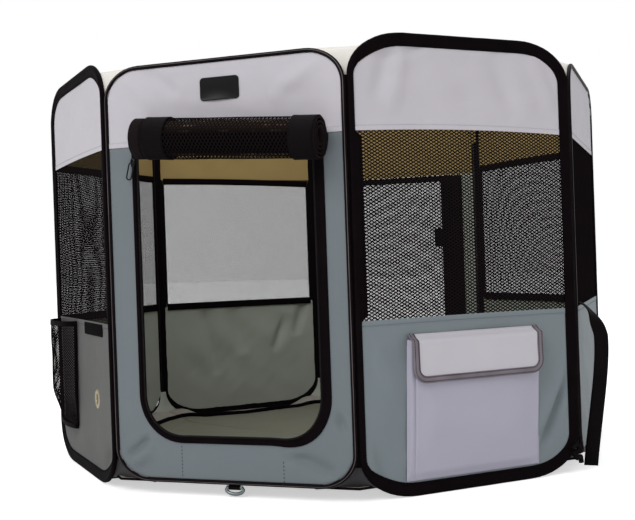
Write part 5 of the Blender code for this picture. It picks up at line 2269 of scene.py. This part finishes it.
@dataclass
class ClothPocket(Assembly):
    """The cloth pocket on the side right of the front door, and its trimmed flap."""

    left: float = -0.1025
    right: float = 0.1105
    low: float = 0.0205
    high: float = 0.2060
    shear: float = 0.0070
    depth: float = 0.0090
    pleat: float = 0.0105
    flap_sides: Pair = (-0.1005, 0.1065)
    flap_top: float = 0.2130
    flap_drop: float = 0.0630
    flap_corner: float = 0.019
    flap_rise: float = 0.0142
    trim: float = 0.0088

    def front(self, u: np.ndarray, share: np.ndarray) -> np.ndarray:
        """How far the pocket stands off the wall.

        Args:
            u: Distance from its left edge.
            share: Height, from 0 at its foot to 1 at its mouth.

        Returns:
            The heights.
        """
        wide = self.right - self.left
        near, far = u, wide - u
        rise = 0.62 * smooth(near / 0.0045) + 0.38 * smooth((near - self.pleat) / 0.030)
        gusset = -0.0018 * np.exp(-(((near - self.pleat) / 0.0016) ** 2))
        fall = 0.45 * smooth(far / 0.005) + 0.55 * smooth(far / 0.045)
        base = smooth(share / 0.07) * 0.55 + 0.45 * smooth(share / 0.45)
        crown = self.depth * np.minimum(rise, fall) * base
        calm = smooth(near / 0.03) * smooth(far / 0.03) * (1 - 0.6 * smooth((share - 0.5) / 0.3))
        waves = ripple(u, share * 0.18, 0.075, 0.0022, 90) * calm
        return self.plan.face + 0.0008 + crown + (gusset + waves * smooth(share * 4)) * base

    def build(self) -> None:
        """Sews the pocket and its flap."""
        wide = self.right - self.left
        near, far = np.linspace(0, 0.016, 17), np.linspace(wide - 0.008, wide, 6)
        across = np.concatenate([near, np.linspace(0.02, wide - 0.01, 50), far])
        foot, mouth = np.linspace(0, 0.1, 10), [0.96, 0.965, 0.999, 1.0]
        run, level = np.meshgrid(across, np.concatenate([foot, np.linspace(0.12, 0.955, 44), mouth]))
        v = self.low + (self.high - self.low) * level
        u = self.left + run - self.shear * (1 - level)
        hem = 0.0007 * smooth((level - 0.958) / 0.005)
        cut = Surface.flat(u, v, self.front(run, level) + hem)
        made = self.cloth("cloth_pocket", cut, (POCKET_CLOTH, POCKET_CLOTH), "pocket", thickness=0.0008)
        cut.cut
        cut.within
        side, raised = np.array([0.0022, 0, 0.0006]), (0, 0, 0.0006)
        pleat = cut.points[:-4:2, 11]
        lines = [cut.points[:, 0] + side, cut.points[:, -1] + side * (-1, 1, 1), pleat + raised]
        self.sew("pocket_stitches", lines, PALE_THREAD)
        self.add_flap()

    def flap_point(self, u: np.ndarray, drop: np.ndarray) -> np.ndarray:
        """Places on the hanging flap.

        Args:
            u: Places along the side.
            drop: Distances down the flap from its seam.

        Returns:
            The points.
        """
        shoulder = smooth(drop / 0.013)
        lift = self.plan.face + 0.0013 + (self.flap_rise - 0.0012) * shoulder
        waves = ripple(u, drop, 0.07, 0.0009, 33) * shoulder
        curl = 0.0006 * smooth((drop - 0.04) / 0.03)
        fallen = drop - 0.0035 * smooth(drop / 0.016)
        return np.stack([u, self.flap_top - fallen, lift + waves + curl], -1)

    def flap_edge(self, inset: float, steps: int = 9) -> np.ndarray:
        """The flap's free edge, from its upper left corner round to the upper right.

        Args:
            inset: How far inside the edge the line runs.
            steps: Steps in each round corner.

        Returns:
            Places along the side and distances down the flap.
        """
        left, right = self.flap_sides[0] + inset, self.flap_sides[1] - inset
        drop, bend = self.flap_drop + 0.004 - inset, self.flap_corner - inset
        turns = np.linspace(0, math.pi / 2, steps + 1)
        down = np.linspace(0, drop - bend, 10)[:-1]
        corner = np.stack([left + bend - bend * np.cos(turns), drop - bend + bend * np.sin(turns)], 1)
        foot = np.linspace(left + bend, right - bend, 34)[1:-1]
        return np.concatenate([
            np.stack([np.full_like(down, left), down], 1),
            corner,
            np.stack([foot, np.full_like(foot, drop)], 1),
            np.stack([left + right - corner[::-1, 0], corner[::-1, 1]], 1),
            np.stack([np.full_like(down, right), down[::-1]], 1),
        ])

    def flap_line(self, inset: float, lift: float) -> np.ndarray:
        """A line along the flap's free edge: how far inside it runs, and its lift off the cloth."""
        return self.flap_point(*self.flap_edge(inset).T) + (0, 0, lift)

    def add_flap(self) -> None:
        """The flap, its trim and its stitches."""
        edge = self.flap_edge(0.001)
        across = np.linspace(edge[:, 0].min(), edge[:, 0].max(), 70)
        side = edge[: len(edge) // 2]
        bend, drop = self.flap_corner - 0.001, side[:, 1].max()
        from_middle = np.abs(across - np.mean(self.flap_sides))
        over = np.clip((from_middle - (across[-1] - across[0]) / 2 + bend) / bend, 0, 1)
        foot = drop - bend * (1 - np.sqrt(1 - over ** 2))
        level = np.linspace(1, 0, 22)[:, None]
        fall = foot[None, :] * level
        u = np.broadcast_to(across, fall.shape)
        cut = Surface(self.flap_point(u, fall), np.stack([u, -fall], -1))
        flap = {"thickness": 0.0009, "body": "pocket_flap"}
        made = self.cloth("pocket_flap_cloth", cut, (FLAP_CLOTH, FLAP_CLOTH), "pocket_flap", **flap)
        cut.cut
        cut.within
        wide = self.trim
        over_edge = ((0.0010, 0.0011), (-0.0004, 0.0004), (-0.0004, -0.0009))
        section = ((wide, 0.0009), (0.5 * wide, 0.0013), *over_edge)
        band = Surface.band([self.flap_line(*spot) for spot in section], np.linspace(0, wide, 5))
        self.cloth("pocket_flap_trim", band, (FLAP_TRIM,), thickness=0.0006, body="pocket_flap")
        sizes = {"length": 0.0032, "width": 0.0010, "height": 0.0010}
        for inset, label in ((0.0016, "outer"), (wide - 0.0014, "inner")):
            path = self.flap_line(inset, 0.0017)
            self.sew(f"pocket_flap_{label}_stitches", [path], THREAD, body="pocket_flap", **sizes)


@dataclass
class BottlePocket(Assembly):
    """The round mesh pocket on the side left of the front door."""

    centre: float = -0.090
    half: float = 0.060
    low: float = 0.062
    high: float = 0.230
    depth: float = 0.0265
    taper: float = 0.012
    girth: float = 0.166
    keep: float = 0.10

    def bulge(self, share: np.ndarray, level: np.ndarray) -> tuple[np.ndarray, np.ndarray]:
        """Where the pocket's net is.

        Args:
            share: Place round it, from -1 at its left edge to 1 at its right.
            level: Height, from 0 at its foot to 1 at its mouth.

        Returns:
            Its place along the side and its distance from the wall.
        """
        turn = share * math.pi / 2
        u = self.centre + self.half * np.sign(turn) * np.abs(np.sin(turn)) ** 0.92
        u = u - self.taper * (1 - level) * smooth((share + 0.2) / 1.2)
        fill = (0.35 + 0.65 * smooth(level / 0.36)) * (1 - 0.06 * level)
        slack = ripple(share * 0.08, level * 0.17, 0.06, 0.0015, 17) * np.cos(turn)
        return u, self.plan.face + 0.0010 + (self.depth * fill + slack) * np.cos(turn) ** 0.75

    def build(self) -> None:
        """Knits the pocket, binds it and closes its foot."""
        share, level = np.meshgrid(np.linspace(-1, 1, 41), np.linspace(0, 1, 30))
        u, w = self.bulge(share, level)
        tall = self.high - self.low
        points = np.stack([u, self.low + tall * level, w], -1)
        cut = Surface(points, np.stack([share * self.girth / 2, (level - 0.5) * tall], -1))
        cells = {"cell_width": 0.0062, "cell_height": 0.0044, "strand_width": 0.0012}
        net = self.knit("bottle_pocket_net", cut, 44, "bottle_pocket", **cells)
        self.flatten(net)
        cut.cut
        around, upwards = np.linspace(-1, 1, 41), np.linspace(0, 1, 24)
        self.bind("mouth", np.linspace(0.958, 1.006, 6), around)
        self.bind("foot", np.linspace(-0.012, 0.030, 5), around)
        self.bind("left", upwards, np.linspace(-1.0, -0.93, 4))
        self.bind("right", upwards, np.linspace(0.93, 1.0, 4))
        self.close_foot()

    def flatten(self, piece: Piece) -> None:
        """Gives a piece its own copy of its mesh."""
        self.squeeze(piece, (self.centre, self.low, self.plan.face), self.keep)

    def bind(self, label: str, levels: np.ndarray, shares: np.ndarray) -> None:
        """Binds an edge of the pocket.

        Args:
            label: Which edge.
            levels: Heights of the binding's lines.
            shares: Its places round the pocket.
        """
        share, level = np.meshgrid(shares, levels)
        u, w = self.bulge(share, level)
        v = self.low + (self.high - self.low) * level
        cut = Surface(np.stack([u, v, w + 0.0004], -1), np.stack([share * self.girth / 2, v], -1))
        self.flatten(self.cloth(f"bottle_pocket_{label}_binding", cut, (WIDE_TAPE,), thickness=0.0020))

    def close_foot(self) -> None:
        """The cloth that closes the pocket's foot."""
        share, deep = np.meshgrid(np.linspace(-1, 1, 31), np.linspace(0, 1, 6))
        u, w = self.bulge(share, np.zeros_like(share))
        inner = self.plan.face + 0.0010
        v = self.low + 0.0015 - 0.002 * deep * (1 - deep)
        points = np.stack([u, v, inner + (w - inner) * (1 - deep)], -1)
        cut = Surface(points, np.stack([u, w * (1 - deep)], -1))
        self.flatten(self.cloth("bottle_pocket_foot", cut, (WEBBING,), thickness=0.0010))


@dataclass
class Fittings(Assembly):
    """The small parts on the front left side: the grommet and the fastening strip."""

    grommet_at: Pair = (0.0845, 0.1205)
    bore: float = 0.0074
    rim: float = 0.0146
    patch: tuple[float, float, float, float] = (0.020, 0.130, 0.214, 0.232)

    def build(self) -> None:
        """Presses the grommet through the cloth and puts the strip on."""
        face = self.plan.face
        lip, low, middle = face + 0.0011, face * 0.4, (self.bore + self.rim) / 2
        swell = np.linspace(0, math.pi, 9)
        outer = np.stack([middle + (self.rim - middle) * np.cos(swell), low + (lip - low) * np.sin(swell)], 1)
        neck = np.array([[self.bore, 0.0]])
        reach, height = np.concatenate([outer, neck, outer[::-1] * (1, -1)]).T
        turns = np.linspace(0, 2 * math.pi, 56, endpoint=False)
        rings = [np.stack([reach * math.cos(turn), reach * math.sin(turn), height], 1) for turn in turns]
        made = loft("drain_grommet", np.array(rings), looped=True)
        self.mount(made, BRASS, Matrix.Translation((*self.grommet_at, 0)), "grommet")
        left, right, low, high = self.patch
        half = ((right - left) / 2, (high - low) / 2)
        steps = ((0.0002, 0.0), (0.0, 0.0004), (0.0, 0.0009), (0.0006, 0.0012))
        strip = rounded_slab("fastening_hooks", half, 0.002, steps, face)
        spot = Matrix.Translation(((left + right) / 2, (low + high) / 2, 0))
        self.mount(strip, HOOKS, spot, "fastening_strip")


@dataclass
class FrontDetails(Assembly):
    """The bare label on the front band, and the ring in its loop of tape at the foot."""

    label_at: Pair = (0.0005, 0.5490)
    label_half: Pair = (0.0285, 0.0155)
    ring_half: Pair = (0.0124, 0.0042)
    ring_bar: Pair = (0.0134, -0.0050)
    wire: float = 0.0024
    loop_half: float = 0.008
    loop_top: float = 0.0300

    def build(self) -> None:
        """Puts the label and the loop on, and hangs the ring."""
        edge = ((0.0003, 0.0), (0.0, 0.0004), (0.0, 0.0009), (0.0004, 0.0012))
        well = ((0.0012, 0.0012), (0.0016, 0.0009))
        label = rounded_slab("bare_label", self.label_half, 0.005, edge + well, self.plan.face)
        self.mount(label, LABEL_RUBBER, Matrix.Translation((*self.label_at, 0)), "blank_label")

        bar_height, bar_out = self.ring_bar
        ring = bend_cord("dee_ring", at_height(self.ring_line(), 0.0), self.wire, closed=True)
        spot = Matrix.Translation((0, bar_height, bar_out))
        self.mount(ring, GREY_METAL, spot, "anchor_ring", body="anchor_ring")

        bore = self.wire + 0.0008
        turns = np.linspace(math.radians(70), math.radians(-250), 22)
        round_bar = np.stack([bore * np.cos(turns), bore * np.sin(turns)], 1)
        tail = self.loop_top - bar_height
        legs = np.array([[0.0006, tail], [0.0006, 0.006]])
        line = resample(np.concatenate([legs, round_bar, legs[::-1] * (-1, 1)]), 60)
        across = np.linspace(-self.loop_half, self.loop_half, 7)
        run, across = np.meshgrid(running(line), across, indexing="ij")
        out, up = bar_out + line[:, 0:1] + 0 * run, bar_height + line[:, 1:2] + 0 * run
        grid = np.stack([across, up, out], -1)
        cut = Surface(grid, np.stack([run, across], -1))
        self.cloth("ring_loop", cut, (WEBBING,), "anchor_loop", thickness=0.0008)

    def ring_line(self) -> np.ndarray:
        """The ring's middle line: a straight bar on top and a bow under it."""
        wide, tall = self.ring_half
        turns = np.linspace(math.pi, 2 * math.pi, 17)
        bow = np.stack([wide * np.cos(turns), 1.45 * tall * np.sin(turns)], 1) - (0, 0.75 * tall)
        bar = np.stack([np.linspace(wide - 0.002, -wide + 0.002, 9), np.zeros(9)], 1)
        return np.concatenate([bow, bar])


@dataclass
class HangingStrap(Assembly):
    """The webbing strap near the right side's front edge, hanging in a bow with a half twist."""

    along: float = -0.150
    top: float = 0.240
    end: float = 0.003
    width: float = 0.020
    thickness: float = 0.0015
    bow: float = 0.020
    keep: float = 0.10

    def build(self) -> None:
        """Hangs the strap."""
        face = self.plan.face
        fall = np.linspace(0, 1, 70)
        turn = math.pi / 2 * smooth((fall - 0.02) / 0.18)
        out = face + self.thickness / 2 + 0.0003
        clear = self.width / 2 * np.clip(fall / 0.20, 0, 1)
        out = out + self.bow * np.sin(math.pi * fall ** 0.50) ** 1.1 + clear
        height = self.top + (self.end - self.top) * fall
        run = np.concatenate([[0], np.cumsum(np.hypot(np.diff(height), np.diff(out)))])
        run, across = np.meshgrid(run, np.linspace(-0.5, 0.5, 7) * self.width, indexing="ij")
        u, w = self.along + across * np.cos(turn)[:, None], out[:, None] + across * np.sin(turn)[:, None]
        cut = Surface(np.stack([u, height[:, None] + 0 * run, w], -1), np.stack([run, across], -1))
        made = self.cloth("webbing_strap", cut, (WEBBING,), "strap", thickness=self.thickness, body="strap")
        cut.cut
        self.squeeze(made, (self.along, self.top, face), self.keep)


def dress_wires(nodes: dict, shop: Workshop) -> None:
    """Gives the hoop wires, which the tapes hide, their steel.

    Args:
        nodes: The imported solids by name.
        shop: The finishes.
    """
    steel = shop.finish(SPRING_STEEL)
    for name, node in nodes.items():
        if name.endswith("_hoop_wire"):
            for slot in node.material_slots:
                slot.material = steel
    LOG.info("the hoop wires are dressed")


@dataclass(frozen=True)
class Studio:
    """The floor, the lamps and the camera."""

    eye: Triple = (0.5831, -1.7007, 0.3203)
    yaw: float = math.radians(19.586)
    pitch: float = math.radians(-0.2227)
    roll: float = math.radians(-1.987)
    focal: float = 1040.65
    frame: tuple[int, int] = (635, 520)
    aim: Triple = (0.0, 0.0, 0.3)
    sky: float = 0.66
    paper_glow: float = 0.55

    def build(self) -> None:
        """Sets up the whole studio."""
        self.lay_floor()
        self.light_world()
        self.hang_lamps()
        self.set_camera()
        bpy.context.scene.view_settings.view_transform = "Standard"

    def lay_floor(self) -> None:
        """A wide pale floor that shows white and keeps the shadow."""
        mesh = bpy.data.meshes.new("studio_floor")
        reach, drop = 12.0, -0.0002
        corners = [(-reach, -reach, drop), (reach, -reach, drop), (reach, reach, drop), (-reach, reach, drop)]
        mesh.from_pydata(corners, [], [(0, 1, 2, 3)])
        made = show("studio_floor", mesh)
        material = bpy.data.materials.new("studio_paper")
        material.use_nodes = True
        shader = material.node_tree.nodes["Principled BSDF"]
        shader.inputs["Base Color"].default_value = (0.93, 0.93, 0.93, 1)
        shader.inputs["Roughness"].default_value = 0.9
        shader.inputs["Specular IOR Level"].default_value = 0.0
        shader.inputs["Emission Color"].default_value = (1, 1, 1, 1)
        nodes = Nodes(material.node_tree)
        seen = nodes.add("ShaderNodeLightPath").outputs["Is Camera Ray"]
        nodes.link(nodes.times(seen, self.paper_glow), shader.inputs["Emission Strength"])
        mesh.materials.append(material)

    def light_world(self) -> None:
        """Even light from all round, and white where the camera looks past the floor."""
        world = bpy.data.worlds.new("studio")
        bpy.context.scene.world = world
        world.use_nodes = True
        nodes = Nodes(world.node_tree)
        seen = nodes.add("ShaderNodeLightPath").outputs["Is Camera Ray"]
        strength = nodes.math("MULTIPLY_ADD", seen, 1 - self.sky, self.sky)
        back = world.node_tree.nodes["Background"]
        back.inputs["Color"].default_value = (1, 1, 1, 1)
        nodes.link(strength, back.inputs["Strength"])

    def hang_lamps(self) -> None:
        """Large soft lamps above and in front."""
        lamps = (
            ("key", (-0.4, -2.8, 2.4), 36.0, 1.8),
            ("top", (0.0, 0.4, 3.0), 24.0, 2.4),
        )
        for name, spot, power, size in lamps:
            data = bpy.data.lights.new(name, "AREA")
            data.energy, data.size, data.shape = power, size, "DISK"
            lamp = show(name, data)
            lamp.location = spot
            aim = Vector(self.aim) - Vector(spot)
            lamp.rotation_euler = aim.to_track_quat("-Z", "Y").to_euler()

    def set_camera(self) -> None:
        """Puts the camera where the photograph was taken from."""
        data = bpy.data.cameras.new("photo_view")
        data.sensor_width = 36.0
        data.lens = self.focal / self.frame[0] * data.sensor_width
        camera = show("photo_view", data)
        level = math.cos(self.pitch)
        ahead = Vector((-math.sin(self.yaw) * level, math.cos(self.yaw) * level, math.sin(self.pitch)))
        right = ahead.cross(Vector(UP_FACING)).normalized()
        above = right.cross(ahead)
        turned = right * math.cos(self.roll) + above * math.sin(self.roll)
        raised = turned.cross(ahead)
        axes = Matrix((turned, raised, -ahead)).transposed().to_4x4()
        camera.matrix_world = Matrix.Translation(self.eye) @ axes
        bpy.context.scene.camera = camera


def main() -> None:
    """Builds the pen piece by piece."""
    logging.basicConfig(level=logging.INFO, format="%(message)s")
    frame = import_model()
    Studio().build()
    shop = Workshop.open()
    for side in SIDES:
        Hoop(shop, side).build()
        look = LOOKS.get(side.name, Look())
        Walls(shop, side, look).build()
        if not side.door:
            Window(shop, side, look.bow).build()
        FloorSheet(shop, side).build()
    front, front_right, right, _, back, _, _, front_left = SIDES
    for build in (
        DoorZip(shop, front),
        DoorZip(shop, back),
        DoorRoll(shop, front),
        BackDoor(shop, back),
        ClothPocket(shop, front_right),
        BottlePocket(shop, front_left),
        Fittings(shop, front_left),
        FrontDetails(shop, front),
        HangingStrap(shop, right),
    ):
        build.build()
        LOG.info("%s is done", type(build).__name__)
    dress_wires(frame["nodes"], shop)
    for index, side in enumerate(SIDES):
        Corner(shop, side, SIDES[(index + 1) % len(SIDES)]).build()


if __name__ == "__main__":
    main()
